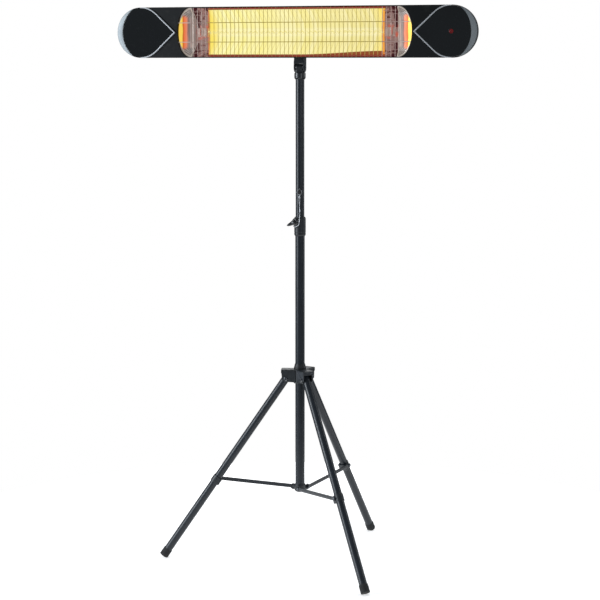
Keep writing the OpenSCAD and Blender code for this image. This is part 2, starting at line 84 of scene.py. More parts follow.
shell_low, shell_high = extent("housing_shell")
frame_low, frame_high = extent("front_frame")
HEAD_Z = (shell_low.z + shell_high.z) / 2
END_R = (shell_high.z - shell_low.z) / 2
END_X = shell_high.x - END_R
FRONT_Y = frame_low.y
FRAME_T = frame_high.y - frame_low.y
BACK_Y = shell_high.y
JOINTS = {joint["name"]: joint for joint in frame["joints"]}
SIDES = ("left", "front", "back")
LOWER_R = (extent("lower_tube")[1].x - extent("lower_tube")[0].x) / 2
UPPER_R = (extent("upper_tube")[1].x - extent("upper_tube")[0].x) / 2
TUBE_WALL = 0.7
LEG_R = 9.8
FOOT_R = 11.2
WINDOW_HALF, BOW_FOOT, BOW_REACH, BOW_POWER = 58.8, 255.4, 34.3, 2.15
DROP_R, DROP_ANGLE = 61.6, math.radians(43)
DROP_X = END_X
TRIM_W = 3
CRESCENT_X, CRESCENT_R = 359, 72
PANEL_T = 3
LAMP_Y, LAMP_R, LAMP_HALF = -34, 5.5, 230
TROUGH_HALF, TROUGH_LIP, TROUGH_TOP, TROUGH_FRONT, TROUGH_BACK = 253, 54.5, 57.8, -56, -13
TILT_Z = extent("tilt_bolt")[0].z / 2 + extent("tilt_bolt")[1].z / 2
LED_X = (extent("indicator_lens")[0].x + extent("indicator_lens")[1].x) / 2
LED_HOLE_R, KNOB_HOLE_R, PIN_HOLE_R, RIVET_HOLE_R = 3.05, 3.05, 3.1, 2.55

# These are in metres, for the finishes
WIRE_PITCH = 10.4 * MM
FIELD_HALF = 216 * MM      # half length of the bright field, where the lamp brackets begin
SHADE_SLANT = 0.3094       # the brackets shade the trough's ends along this slant, left to right
SHADE_LEFT, SHADE_RIGHT = 230.05 * MM, 207.7 * MM
LIP = 53.3 * MM            # the bright field's half height


# ---- shapes ----

class Shape:
    """Points in millimetres and faces on them; shapes are placed with a matrix and added together."""

    def __init__(self, points=(), faces=()):
        self.points = [Vector(p) for p in points]
        self.faces = [tuple(f) for f in faces]

    def placed(self, matrix):
        turned_over = matrix.to_3x3().determinant() < 0
        faces = [tuple(reversed(f)) if turned_over else f for f in self.faces]
        return Shape([matrix @ p for p in self.points], faces)

    def moved(self, x=0, y=0, z=0):
        return self.placed(Matrix.Translation((x, y, z)))

    def __add__(self, other):
        start = len(self.points)
        return Shape(self.points + other.points,
                     self.faces + [tuple(i + start for i in f) for f in other.faces])


def all_of(shapes):
    return sum(shapes, Shape())


def turn(axis, degrees):
    return Matrix.Rotation(math.radians(degrees), 4, axis)


def frame_on(origin, x, z):
    """The matrix that puts a shape's own X and Z along two directions."""
    z = Vector(z).normalized()
    x = (Vector(x) - z * Vector(x).dot(z)).normalized()
    y = z.cross(x)
    matrix = Matrix((x, y, z)).transposed().to_4x4()
    matrix.translation = origin
    return matrix


# Own Z along the heater, own X to its back, own Y up
ALONG_X = frame_on((0, 0, 0), (0, 1, 0), (1, 0, 0))
# The directions of own X and own Z for an outline that faces the front
TO_FRONT = ((1, 0, 0), (0, -1, 0))
# Swaps the heater's right and left ends
MIRROR = Matrix.Scale(-1, 4, (1, 0, 0))


def outwards(azimuth, height):
    """Own Z points away from the mast at a height, own X points down."""
    a = math.radians(azimuth)
    return frame_on((0, 0, height), (0, 0, -1), (math.cos(a), math.sin(a), 0))


def arc(centre, radius, start, end, steps):
    """Points of an arc between two angles in degrees."""
    angles = [math.radians(start + (end - start) * k / steps) for k in range(steps + 1)]
    return [(centre[0] + radius * math.cos(a), centre[1] + radius * math.sin(a)) for a in angles]


def rectangle(a, b):
    """Corners of a rectangle round the origin, from its half width and half height."""
    return [(-a, -b), (a, -b), (a, b), (-a, b)]


def hexagon(radius):
    return [(radius * math.cos(TURN * k / 6), radius * math.sin(TURN * k / 6)) for k in range(6)]


def softened(points, radius, steps=4, closed=True):
    """An outline with its corners rounded; radius is one number, or one for each corner."""
    result, count = [], len(points)
    for i, p in enumerate(points):
        wanted = radius[i] if isinstance(radius, (list, tuple)) else radius
        here = Vector(p)
        if wanted <= 0 or (not closed and i in (0, count - 1)):
            result.append(tuple(p))
            continue
        back = Vector(points[i - 1]) - here
        ahead = Vector(points[(i + 1) % count]) - here
        angle = back.angle(ahead)
        if angle > math.pi - 0.03:
            result.append(tuple(p))
            continue
        cut = min(wanted / math.tan(angle / 2), 0.49 * back.length, 0.49 * ahead.length)
        r = cut * math.tan(angle / 2)
        centre = here + (back.normalized() + ahead.normalized()).normalized() * (r / math.sin(angle / 2))
        first = here + back.normalized() * cut - centre
        last = here + ahead.normalized() * cut - centre
        start = math.atan2(first.y, first.x)
        sweep = (math.atan2(last.y, last.x) - start + math.pi) % TURN - math.pi
        for s in range(steps + 1):
            a = start + sweep * s / steps
            result.append((centre.x + r * math.cos(a), centre.y + r * math.sin(a)))
    return result


def turned(profile, sides=64, closed=False):
    """A shape turned round Z from (radius, height) points; radius 0 makes a pole."""
    points, rings = [], []
    for radius, height in profile:
        start = len(points)
        if radius < 1e-6:
            points.append((0, 0, height))
            rings.append([start])
            continue
        for k in range(sides):
            a = TURN * k / sides
            points.append((radius * math.cos(a), radius * math.sin(a), height))
        rings.append(list(range(start, start + sides)))
    pairs = list(zip(rings, rings[1:])) + ([(rings[-1], rings[0])] if closed else [])
    faces = []
    for low, high in pairs:
        for k in range(sides):
            n = k + 1
            quad = (low[k % len(low)], low[n % len(low)], high[n % len(high)], high[k % len(high)])
            face = tuple(dict.fromkeys(quad))
            if len(face) > 2:
                faces.append(face)
    return Shape(points, faces)


def ring_of(r_out, r_in, z0, z1, edge=0.3, sides=64):
    """A pipe or ring with rounded edges."""
    corners = [(r_out, z0), (r_out, z1), (r_in, z1), (r_in, z0)]
    return turned(softened(corners, edge, 3), sides, closed=True)


def disc_of(radius, z0, z1, edge=0.4, sides=48):
    """A solid disc or bar with rounded edges."""
    corners = [(0, z0), (radius, z0), (radius, z1), (0, z1)]
    return turned(softened(corners, edge, 3, closed=False), sides)


def offset(loop, distance):
    """A closed loop moved to its own left, which is into the material."""
    result, count = [], len(loop)
    for i in range(count):
        here = Vector(loop[i])
        before = (here - Vector(loop[i - 1])).normalized()
        after = (Vector(loop[(i + 1) % count]) - here).normalized()
        lefts = Vector((-before.y, before.x)), Vector((-after.y, after.x))
        middle = (lefts[0] + lefts[1]).normalized()
        result.append(tuple(here + middle * distance / max(0.35, middle.dot(lefts[0]))))
    return result


def signed_area(loop):
    return sum(a[0] * b[1] - b[0] * a[1] for a, b in zip(loop, loop[1:] + loop[:1])) / 2


def slab(loops, thickness, edge=0.4, steps=2, bottom_edge=None):
    """A plate from an outline and its holes, from z 0 to its thickness, with rounded edges."""
    loops = [list(loop) for loop in loops]
    for i, loop in enumerate(loops):
        if (signed_area(loop) > 0) != (i == 0):
            loop.reverse()
    low_edge = edge if bottom_edge is None else bottom_edge
    quarter = [math.pi / 2 * s / steps for s in range(steps + 1)]
    levels = [(low_edge * (1 - math.sin(a)), low_edge * (1 - math.cos(a))) for a in quarter]
    levels += [(edge * (1 - math.sin(a)), thickness - edge * (1 - math.cos(a))) for a in reversed(quarter)]
    points, faces, starts = [], [], []
    for inset, height in levels:
        starts.append(len(points))
        for loop in loops:
            points += [(x, y, height) for x, y in offset(loop, inset)]
    sizes = [len(loop) for loop in loops]
    for low, high in zip(starts, starts[1:]):
        base = 0
        for size in sizes:
            for k in range(size):
                a, b = base + k, base + (k + 1) % size
                faces.append((low + a, low + b, high + b, high + a))
            base += size
    for start, up in ((starts[0], False), (starts[-1], True)):
        rows, at = [], start
        for size in sizes:
            rows.append([Vector((p[0], p[1], 0)) for p in points[at:at + size]])
            at += size
        for a, b, c in tessellate_polygon(rows):
            p, q, r = (Vector(points[start + i]) for i in (a, b, c))
            flat = (q - p).cross(r - p).z
            if abs(flat) < 1e-9:
                continue
            face = (start + a, start + b, start + c)
            faces.append(face if (flat > 0) == up else tuple(reversed(face)))
    return Shape(points, faces)


def circle(centre, radius, steps=32):
    return arc(centre, radius, 0, 360 * (steps - 1) / steps, steps - 1)


def along(path, radius, sides=12, lobes=0, depth=0, twist=0, flatten=1):
    """A bar or wire that follows points, with domed ends; radius is a number or one for each point.
    lobes, depth and twist shape it as strands laid round each other."""
    path = [Vector(p) for p in path]
    radii = list(radius) if isinstance(radius, (list, tuple)) else [radius] * len(path)
    headings = [(path[min(i + 1, len(path) - 1)] - path[max(i - 1, 0)]).normalized()
                for i in range(len(path))]
    side = headings[0].orthogonal().normalized()
    rings, turned_by = [], 0
    for i, (p, t) in enumerate(zip(path, headings)):
        side = (side - t * side.dot(t)).normalized()
        rings.append((p, t, side.copy(), radii[i], turned_by))
        turned_by += twist * (path[min(i + 1, len(path) - 1)] - p).length
    first, last = rings[0], rings[-1]
    dome = [(0.55, 0.45), (0.9, 0.15)]
    rings = [(first[0] - first[1] * first[3] * out, *first[1:3], first[3] * wide, first[4])
             for wide, out in dome] + rings
    rings += [(last[0] + last[1] * last[3] * out, *last[1:3], last[3] * wide, last[4])
              for wide, out in reversed(dome)]
    points, faces = [], []
    for p, t, u, r, lay in rings:
        v = t.cross(u)
        for k in range(sides):
            a = TURN * k / sides
            reach = r * (1 - depth + depth * abs(math.cos(lobes * (a - lay) / 2))) if lobes else r
            points.append(p + u * math.cos(a) * reach + v * math.sin(a) * reach * flatten)
    for i in range(len(rings) - 1):
        for k in range(sides):
            a, b = i * sides + k, i * sides + (k + 1) % sides
            faces.append((a, b, b + sides, a + sides))
    first, last = rings[0], rings[-1]
    for start, p, way in ((0, first[0] - first[1] * 0.05 * first[3], True),
                          ((len(rings) - 1) * sides, last[0] + last[1] * 0.05 * last[3], False)):
        points.append(p)
        tip = len(points) - 1
        for k in range(sides):
            a, b = start + k, start + (k + 1) % sides
            faces.append((b, a, tip) if way else (a, b, tip))
    return Shape(points, faces)


def smooth_path(points, steps=4):
    """A Catmull-Rom curve through the points."""
    p = [Vector(q) for q in points]
    p = [p[0] * 2 - p[1]] + p + [p[-1] * 2 - p[-2]]
    result = []
    for a, b, c, d in zip(p, p[1:], p[2:], p[3:]):
        for s in range(steps):
            t = s / steps
            result.append(0.5 * (2 * b + (c - a) * t + (2 * a - 5 * b + 4 * c - d) * t * t
                                 + (3 * b - a - 3 * c + d) * t ** 3))
    return result + [p[-2]]


# ---- pieces ----

def bare_object(name, shape, tidy=True):
    """A mesh object from a shape, in metres, not yet a piece; seams are closed and normals turned out."""
    mesh = bpy.data.meshes.new(name)
    mesh.from_pydata([p * MM for p in shape.points], [], shape.faces)
    if tidy:
        work = bmesh.new()
        work.from_mesh(mesh)
        bmesh.ops.remove_doubles(work, verts=work.verts, dist=0.002 * MM)
        bmesh.ops.dissolve_degenerate(work, edges=work.edges, dist=0.001 * MM)
        bmesh.ops.recalc_face_normals(work, faces=work.faces)
        work.to_mesh(mesh)
        work.free()
    thing = bpy.data.objects.new(name, mesh)
    bpy.context.scene.collection.objects.link(thing)
    return thing


def settled(thing):
    """Turns the object's live modifiers into plain mesh and removes them."""
    bpy.context.view_layer.update()
    graph = bpy.context.evaluated_depsgraph_get()
    mesh = bpy.data.meshes.new_from_object(thing.evaluated_get(graph), depsgraph=graph)
    old = thing.data
    thing.modifiers.clear()
    thing.data = mesh
    bpy.data.meshes.remove(old)
    return thing


def carve(thing, shape, operation="DIFFERENCE"):
    """Cuts a shape out of an object, or joins it on."""
    tool = bare_object("tool", shape)
    cutter = thing.modifiers.new("cut", "BOOLEAN")
    cutter.object = tool
    cutter.operation = operation
    cutter.solver = "MANIFOLD"
    settled(thing)
    tool_mesh = tool.data
    bpy.data.objects.remove(tool)
    bpy.data.meshes.remove(tool_mesh)


def finished(thing, name, body, slot, finish=None, stands_for=None, crease=34):
    """Names a piece, gives it smooth shading up to its creases, its finish and its body.
    Its finish is the slot's own, and it stands for the CAD node of its own name, unless told otherwise."""
    thing.name = shown_name(name)
    mesh = thing.data
    mesh.name = shown_name(name)
    mesh.polygons.foreach_set("use_smooth", [True] * len(mesh.polygons))
    mesh.set_sharp_from_angle(angle=math.radians(crease))
    weighted = thing.modifiers.new("shading", "WEIGHTED_NORMAL")
    weighted.keep_sharp = True
    settled(thing)
    thing.data.materials.clear()
    thing.data.materials.append(FINISHES[finish or slot])
    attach(thing, body)
    nodes = (name,) if stands_for is None else stands_for
    if nodes:
        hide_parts(*nodes)
    return thing


def piece(name, shape, body, slot, **others):
    """A finished piece straight from a shape."""
    return finished(bare_object(name + "_mesh", shape), name, body, slot, **others)


def shown_name(name):
    """A name for the detailed piece that differs from the CAD node's."""
    return name + "_made" if name in frame["nodes"] else name


# ---- node trees: one method for any node, and sockets that take part in Python sums ----

def put(tree, kind, settings=None, inputs=None):
    """Adds a node: its settings first, then the values or links of its inputs by name or number."""
    node = tree.nodes.new(kind)
    for key, value in (settings or {}).items():
        if key == "stops":
            ramp = node.color_ramp
            while len(ramp.elements) < len(value):
                ramp.elements.new(1.0)
            for element, (place, colour) in zip(ramp.elements, value):
                element.position = place
                element.color = (*colour, 1.0)
        else:
            setattr(node, key, value)
    for key, value in (inputs or {}).items():
        socket = node.inputs[key]
        if isinstance(value, Sum):
            value = value.socket
        if isinstance(value, bpy.types.NodeSocket):
            tree.links.new(value, socket)
        else:
            socket.default_value = value
    return node


class Sum:
    """Wraps a value socket, so that + - * / and comparisons add Math nodes."""

    def __init__(self, tree, socket):
        self.tree, self.socket = tree, socket

    def maths(self, operation, *others):
        inputs = {i: value for i, value in enumerate(others)}
        node = put(self.tree, "ShaderNodeMath", {"operation": operation}, inputs)
        return Sum(self.tree, node.outputs[0])

    def __add__(self, other):
        return self.maths("ADD", self, other)

    def __radd__(self, other):
        return self.maths("ADD", other, self)

    def __sub__(self, other):
        return self.maths("SUBTRACT", self, other)

    def __rsub__(self, other):
        return self.maths("SUBTRACT", other, self)

    def __mul__(self, other):
        return self.maths("MULTIPLY", self, other)

    def __rmul__(self, other):
        return self.maths("MULTIPLY", other, self)

    def __truediv__(self, other):
        return self.maths("DIVIDE", self, other)

    def __abs__(self):
        return self.maths("ABSOLUTE", self)

    def whole(self):
        return self.maths("ROUND", self)

    def sine(self):
        return self.maths("SINE", self)

    def power(self, exponent):
        return self.maths("POWER", self, exponent)

    def least(self, other):
        return self.maths("MINIMUM", self, other)

    def most(self, other):
        return self.maths("MAXIMUM", self, other)

    def rise(self, low, high):
        """0 below low, 1 above high, smooth between; falls instead where high is the lower."""
        down = high < low
        edges = {"Value": self, "From Min": min(low, high), "From Max": max(low, high)}
        edges.update({"To Min": 1.0 if down else 0.0, "To Max": 0.0 if down else 1.0})
        node = put(self.tree, "ShaderNodeMapRange", {"interpolation_type": "SMOOTHSTEP"}, edges)
        return Sum(self.tree, node.outputs["Result"])


class Finish:
    """A procedural finish on object coordinates, in metres."""

    def __init__(self, name, **plain):
        self.material = bpy.data.materials.new(name)
        self.material.use_nodes = True
        self.tree = self.material.node_tree
        self.tree.nodes.clear()
        self.out = self.put("ShaderNodeOutputMaterial")
        self.shader = self.put("ShaderNodeBsdfPrincipled", None, plain)
        self.tree.links.new(self.shader.outputs[0], self.out.inputs["Surface"])
        self.place = self.put("ShaderNodeTexCoord").outputs["Object"]
        self.axes = self.put("ShaderNodeSeparateXYZ", None, {0: self.place})

    def put(self, kind, settings=None, inputs=None):
        return put(self.tree, kind, settings, inputs)

    def axis(self, letter):
        return Sum(self.tree, self.axes.outputs[letter])

    def attribute(self, name):
        node = self.put("ShaderNodeAttribute", {"attribute_name": name})
        return Sum(self.tree, node.outputs["Fac"])

    def edges(self):
        """Higher where the surface bends outwards."""
        return Sum(self.tree, self.put("ShaderNodeNewGeometry").outputs["Pointiness"])

    def grain(self, scale, detail=2.0, stretch=None, bend=0.0):
        """Noise from 0 to 1; scale is per metre, stretch multiplies each axis."""
        where = self.place
        if stretch:
            where = self.put("ShaderNodeMapping", None, {"Vector": where, "Scale": stretch}).outputs[0]
        node = self.put("ShaderNodeTexNoise", None, {
            "Vector": where, "Scale": scale, "Detail": detail, "Distortion": bend})
        return Sum(self.tree, node.outputs["Fac"])

    def cells(self, scale, feature="F1"):
        """Distance from the middle or the edge of cells; scale is per metre."""
        node = self.put("ShaderNodeTexVoronoi", {"feature": feature}, {"Vector": self.place, "Scale": scale})
        return Sum(self.tree, node.outputs["Distance"])

    def chance(self, value):
        """The same random number everywhere that value is the same."""
        node = self.put("ShaderNodeTexWhiteNoise", {"noise_dimensions": "1D"}, {"W": value})
        return Sum(self.tree, node.outputs["Value"])

    def mix(self, share, low, high):
        """Colour low where share is 0, high where it is 1."""
        as_colour = [c if isinstance(c, bpy.types.NodeSocket) else (*c, 1.0) for c in (low, high)]
        node = self.put("ShaderNodeMix", {"data_type": "RGBA"}, {0: share, 6: as_colour[0], 7: as_colour[1]})
        return node.outputs[2]

    def ramp(self, value, stops):
        return self.put("ShaderNodeValToRGB", {"stops": stops}, {0: value}).outputs["Color"]

    def feed(self, **values):
        """Links or sets the shader's inputs; an underscore stands for a space."""
        for key, value in values.items():
            socket = self.shader.inputs[key.replace("_", " ")]
            if isinstance(value, Sum):
                value = value.socket
            if isinstance(value, bpy.types.NodeSocket):
                self.tree.links.new(value, socket)
            else:
                socket.default_value = value
        return self

    def bump(self, height, strength, depth):
        """Raises the surface by height times depth, in metres."""
        node = self.put("ShaderNodeBump", None, {"Strength": strength, "Distance": depth, "Height": height})
        self.tree.links.new(node.outputs[0], self.shader.inputs["Normal"])
        return self


def tone(red, green, blue):
    """A linear colour from the three parts of a screen colour, 0 to 255."""
    parts = [c / 255 for c in (red, green, blue)]
    return tuple(c / 12.92 if c <= 0.04045 else ((c + 0.055) / 1.055) ** 2.4 for c in parts)


# ---- finishes ----

def tube_black():
    """Satin black powder coat on tube: fine orange peel, faint rub marks along the tube."""
    f = Finish("tube_black", **{"Metallic": 0.0, "IOR": 1.4, "Coat Weight": 0.15, "Coat Roughness": 0.2})
    cloud = f.grain(18, 3)
    rubs = f.grain(260, 2, (1, 1, 0.02)).rise(0.66, 0.78) * f.grain(9, 1).rise(0.45, 0.7)
    base = f.mix(cloud, tone(22, 27, 33), tone(33, 40, 47))
    base = f.mix(rubs * 0.3, base, tone(80, 84, 90))
    f.feed(Base_Color=base, Roughness=0.32 + 0.1 * cloud + 0.12 * rubs)
    return f.bump(cloud + 0.3 * f.grain(90, 1), 0.05, 0.0003).material


def cast_black():
    """Satin black paint over a die casting: sand grain, soft sags, and a painted highlight on the edges."""
    f = Finish("cast_black", **{"Metallic": 0.0, "IOR": 1.5})
    cloud, grain, sand = f.grain(35, 3), f.grain(900, 2), f.cells(1100)
    base = f.mix(cloud, tone(20, 25, 29), tone(32, 38, 43))
    # painted highlight: edges that bend outwards are lightened, mottled by grain
    edge = f.edges().rise(0.53, 0.6)
    base = f.mix(edge * f.grain(160, 2) * 0.7, base, tone(98, 101, 106))
    f.feed(Base_Color=base, Roughness=0.36 + 0.14 * cloud - 0.08 * edge)
    return f.bump(grain + 0.5 * sand, 0.2, 0.0001).material


def shell_black():
    """Fine-textured black powder coat on sheet metal."""
    f = Finish("shell_black", **{"Metallic": 0.0, "IOR": 1.33})
    cloud, peel = f.grain(11, 3), f.cells(750, "SMOOTH_F1")
    dust = f.grain(70, 4).rise(0.55, 0.8)
    base = f.mix(cloud, tone(7, 9, 10), tone(14, 17, 19))
    base = f.mix(dust * 0.06, base, tone(110, 108, 104))
    f.feed(Base_Color=base, Roughness=0.4 + 0.12 * cloud + 0.08 * dust)
    return f.bump(peel + 0.4 * f.grain(300, 2), 0.3, 0.00014).material


def gloss_panel():
    """Gloss black moulded panel: near-mirror, with faint wiping marks."""
    f = Finish("gloss_panel", **{"Metallic": 0.0, "IOR": 1.49, "Coat Weight": 0.35, "Coat Roughness": 0.03})
    wiped = f.grain(24, 3, (1, 1, 2.2), bend=1.5).rise(0.5, 0.75)
    specks = f.cells(140).rise(0.05, 0.02)
    base = f.mix(f.grain(8, 2), tone(12, 14, 16), tone(20, 24, 26))
    base = f.mix(specks * 0.2, base, tone(110, 112, 115))
    f.feed(Base_Color=base, Roughness=0.1 + 0.09 * wiped + 0.2 * specks)
    return f.bump(f.grain(60, 2) + 0.3 * f.grain(900, 1), 0.05, 0.0002).material


def moulded_black():
    """Spark-grained black nylon."""
    f = Finish("moulded_black", **{"Metallic": 0.0, "IOR": 1.52})
    cloud, grain = f.grain(45, 2), f.cells(1300)
    base = f.mix(cloud, tone(15, 16, 18), tone(30, 32, 35))
    shine = f.grain(130, 2).rise(0.55, 0.75)
    f.feed(Base_Color=base, Roughness=0.5 - 0.14 * shine + 0.08 * cloud)
    return f.bump(grain + 0.4 * f.grain(500, 2), 0.4, 0.00014).material


def rubber_black():
    """Matt black rubber with dust in its grain, greyer near the floor."""
    f = Finish("rubber_black", **{"Metallic": 0.0, "IOR": 1.45})
    worn = f.axis("Z").rise(0.006, 0.0) * 0.8 + f.grain(240, 3).rise(0.55, 0.8) * 0.35
    base = f.mix(f.grain(60, 3), tone(24, 25, 26), tone(38, 40, 41))
    base = f.mix(worn * 0.5, base, tone(96, 94, 90))
    f.feed(Base_Color=base, Roughness=0.68 + 0.16 * f.grain(90, 2))
    return f.bump(f.grain(1000, 3) + 0.5 * f.cells(600), 0.4, 0.0002).material


def dark_fastener():
    """Blackened steel with a painted highlight on its high edges."""
    f = Finish("dark_fastener", **{"Metallic": 1.0})
    # painted highlight on the edges that bend outwards
    edge = f.edges().rise(0.52, 0.58)
    base = f.mix(f.grain(400, 3), tone(74, 77, 82), tone(104, 107, 111))
    base = f.mix(edge * 0.7, base, tone(176, 178, 180))
    f.feed(Base_Color=base, Roughness=0.3 + 0.18 * f.grain(700, 2))
    return f.bump(f.grain(1600, 2), 0.2, 0.00008).material


def bright_wire():
    """Bright zinc plating with a dull bloom."""
    f = Finish("bright_wire", **{"Metallic": 1.0})
    bloom = f.grain(700, 3)
    base = f.mix(bloom, tone(205, 207, 210), tone(165, 168, 172))
    f.feed(Base_Color=base, Roughness=0.18 + 0.25 * bloom)
    return f.bump(f.grain(2600, 2), 0.15, 0.00005).material


def silver_trim():
    """Satin silver plating, brushed round the end."""
    f = Finish("silver_trim", **{"Metallic": 0.6})
    brushed = f.grain(420, 3, (1, 1, 0.12))
    spots = f.grain(55, 2).rise(0.6, 0.75)
    base = f.mix(brushed, tone(172, 175, 178), tone(202, 204, 206))
    base = f.mix(spots * 0.2, base, tone(140, 145, 150))
    f.feed(Base_Color=base, Roughness=0.44 + 0.12 * brushed + 0.08 * spots)
    return f.bump(brushed, 0.12, 0.00008).material


def end_silver():
    """Polished silver plating on the rounded ends: clouded, with fine wiping marks."""
    f = Finish("end_silver", **{"Metallic": 0.65})
    cloud, wiped = f.grain(30, 3), f.grain(420, 3, (1, 1, 0.12))
    base = f.mix(cloud, tone(160, 165, 167), tone(138, 145, 148))
    f.feed(Base_Color=base, Roughness=0.44 + 0.1 * cloud + 0.08 * wiped)
    return f.bump(wiped, 0.06, 0.00006).material


def rim_silver():
    """Rolled bright edge of the reflector, glowing with painted light from the lamp."""
    f = Finish("rim_silver", **{"Metallic": 0.7})
    worn = f.grain(220, 3, (1, 1, 0.3))
    f.feed(Base_Color=f.mix(worn, tone(206, 200, 192), tone(160, 152, 144)))
    # painted lamp light: a warm glow on the rim, mottled by wear
    f.feed(Emission_Color=f.mix(worn, tone(176, 166, 156), tone(140, 128, 118)))
    f.feed(Emission_Strength=0.6, Roughness=0.3 + 0.2 * worn)
    return f.bump(worn, 0.15, 0.0001).material


def reflector_mirror():
    """Polished trough whose glow is painted lamp light: pale yellow cells with painted reflections of the
    guard's bent wires, dark red painted shade on the lips above and below, murky red painted shade beyond the
    lamp brackets."""
    f = Finish("reflector_mirror", **{"Metallic": 0.8})
    x, z = f.axis("X"), f.axis("Z") - HEAD_Z * MM
    bent = x + (abs(z) - 0.02).most(0.0) * 0.14
    phase = bent / WIRE_PITCH
    cell = f.chance(phase.whole())
    band = f.chance((z / 0.017).whole() + 31.0)
    streak = f.grain(120, 2, (1, 1, 0.25))
    side = x.rise(-FIELD_HALF, FIELD_HALF)
    pale = f.mix(side, tone(255, 252, 198), tone(250, 242, 190))
    deep = f.mix(side, tone(254, 242, 132), tone(240, 226, 134))
    colour = f.mix((cell * 0.45 + streak * 0.42 + band * 0.1).least(1.0), pale, deep)
    # painted reflections of the guard wires: darker lines at the wire pitch, bent towards the lips
    spot = phase + 0.28
    wide = abs(spot - spot.whole())
    colour = f.mix(wide.rise(0.13, 0.03) * 0.38, colour, tone(190, 174, 84))
    # painted highlight: a paler glow along the middle, where the lamp's line is reflected
    colour = f.mix(abs(z).rise(0.014, 0.002) * 0.5, colour, tone(255, 253, 220))
    # painted lamp light: a deeper yellow glow towards the ends of the bright field
    far = abs(x).rise(FIELD_HALF * 0.88, FIELD_HALF)
    colour = f.mix(far * 0.7, colour, tone(255, 226, 66))
    # painted shade: the lips glow dark red
    wedge = x.rise(0.02, FIELD_HALF) * 0.008
    low_lip = (wedge - z).rise(LIP - 0.0018, LIP - 0.0002)
    top_lip = z.rise(LIP - 0.0008, LIP + 0.0008)
    red = f.mix(f.grain(60, 3, (1, 1, 4)), tone(104, 30, 20), tone(150, 52, 32))
    colour = f.mix(low_lip.most(top_lip), colour, red)
    # painted highlight: a paler line just past each lip
    lip_highlight = abs(abs(z) - LIP - 0.0028).rise(0.0009, 0.0003)
    colour = f.mix(lip_highlight * 0.35, colour, tone(196, 140, 124))
    # painted shade of the lamp brackets, whose shadow line runs on a slant, with a painted warm glow along
    # its edge
    slant = f.axis("Y") * SHADE_SLANT
    past_left, past_right = -1.0 * x - slant - SHADE_LEFT, x + slant - SHADE_RIGHT
    warm = (past_right.rise(-0.008, -0.003) * 0.85).most(past_left.rise(-0.0025, -0.001))
    colour = f.mix(warm * abs(z).rise(LIP, LIP - 0.002), colour, tone(238, 142, 52))
    # painted shade beyond the brackets: murky red, mottled
    beyond = past_left.most(past_right).rise(-0.0006, 0.0006)
    murk_mottle = f.grain(120, 4, (1, 1, 0.6), bend=1.0).rise(0.35, 0.65)
    murk = f.mix(murk_mottle, tone(62, 24, 28), tone(158, 122, 116))
    murk = f.mix(abs(x).rise(0.238, 0.242), murk, tone(58, 20, 26))
    colour = f.mix(beyond, colour, murk)
    # the base colour follows the same painted shade beyond the brackets and on the lips
    base = f.mix(beyond, tone(70, 60, 34), tone(60, 48, 46))
    base = f.mix(abs(z).rise(LIP - 0.003, LIP), base, tone(34, 14, 10))
    # the sheet's back is bare metal and doesn't glow
    sweep = (abs(z) / (TROUGH_LIP * MM)).least(1.0).power(2.0)
    middle = sweep * ((TROUGH_FRONT - TROUGH_BACK) * MM) + (TROUGH_BACK + 0.45) * MM
    inside = (middle - f.axis("Y")).rise(-0.0001, 0.0001)
    colour = f.mix(inside, tone(0, 0, 0), colour)
    base = f.mix(inside, f.mix(streak, tone(150, 150, 150), tone(122, 120, 118)), base)
    f.feed(Base_Color=base, Emission_Color=colour)
    f.feed(Emission_Strength=0.96, Roughness=0.22 + 0.2 * streak)
    return f.bump(streak, 0.1, 0.0002).material


def end_mirror():
    """Pressed end of the reflector, its glow painted lamp light: yellow crescent, orange and salmon bands,
    grey corners with painted highlights and shade along the creases.
    """
    f = Finish("end_mirror", **{"Metallic": 0.8})
    x, z = f.axis("X"), f.axis("Z") - HEAD_Z * MM
    wave = f.grain(60, 3, (1, 1, 0.4), bend=0.8)
    # the bands are painted lamp light reflected in the pressed end
    across = (0.290 - abs(x)) / 0.0346 + 0.16 * (wave - 0.5)
    bands = f.ramp(across, [
        (0.0, tone(255, 206, 84)), (0.26, tone(255, 222, 98)), (0.34, tone(200, 92, 30)),
        (0.39, tone(238, 118, 66)), (0.56, tone(236, 140, 108)), (0.64, tone(170, 122, 112)),
        (0.76, tone(146, 138, 134)), (0.88, tone(186, 160, 150)), (1.0, tone(150, 138, 132))])
    streaks = f.grain(260, 2, (1, 1, 0.08)).rise(0.42, 0.62)
    bands = f.mix(streaks * across.rise(0.5, 0.7) * 0.5, bands, tone(92, 80, 78))
    # painted highlights and shade: the creases in the corners alternate light and dark
    crease = (f.attribute("fan") * 46.0).sine() * 0.5 + 0.5
    corner = f.mix(crease * f.grain(160, 2), tone(98, 88, 84), tone(206, 198, 192))
    corner = f.mix(across.rise(0.3, 0.05) * 0.6, corner, tone(196, 110, 70))
    colour = f.mix((abs(z) + across * 0.006).rise(0.036, 0.046), bands, corner)
    f.feed(Base_Color=f.mix(0.7, colour, tone(52, 46, 42)), Emission_Color=colour)
    f.feed(Emission_Strength=0.86, Roughness=0.34 + 0.2 * wave)
    return f.bump(wave, 0.2, 0.0004).material


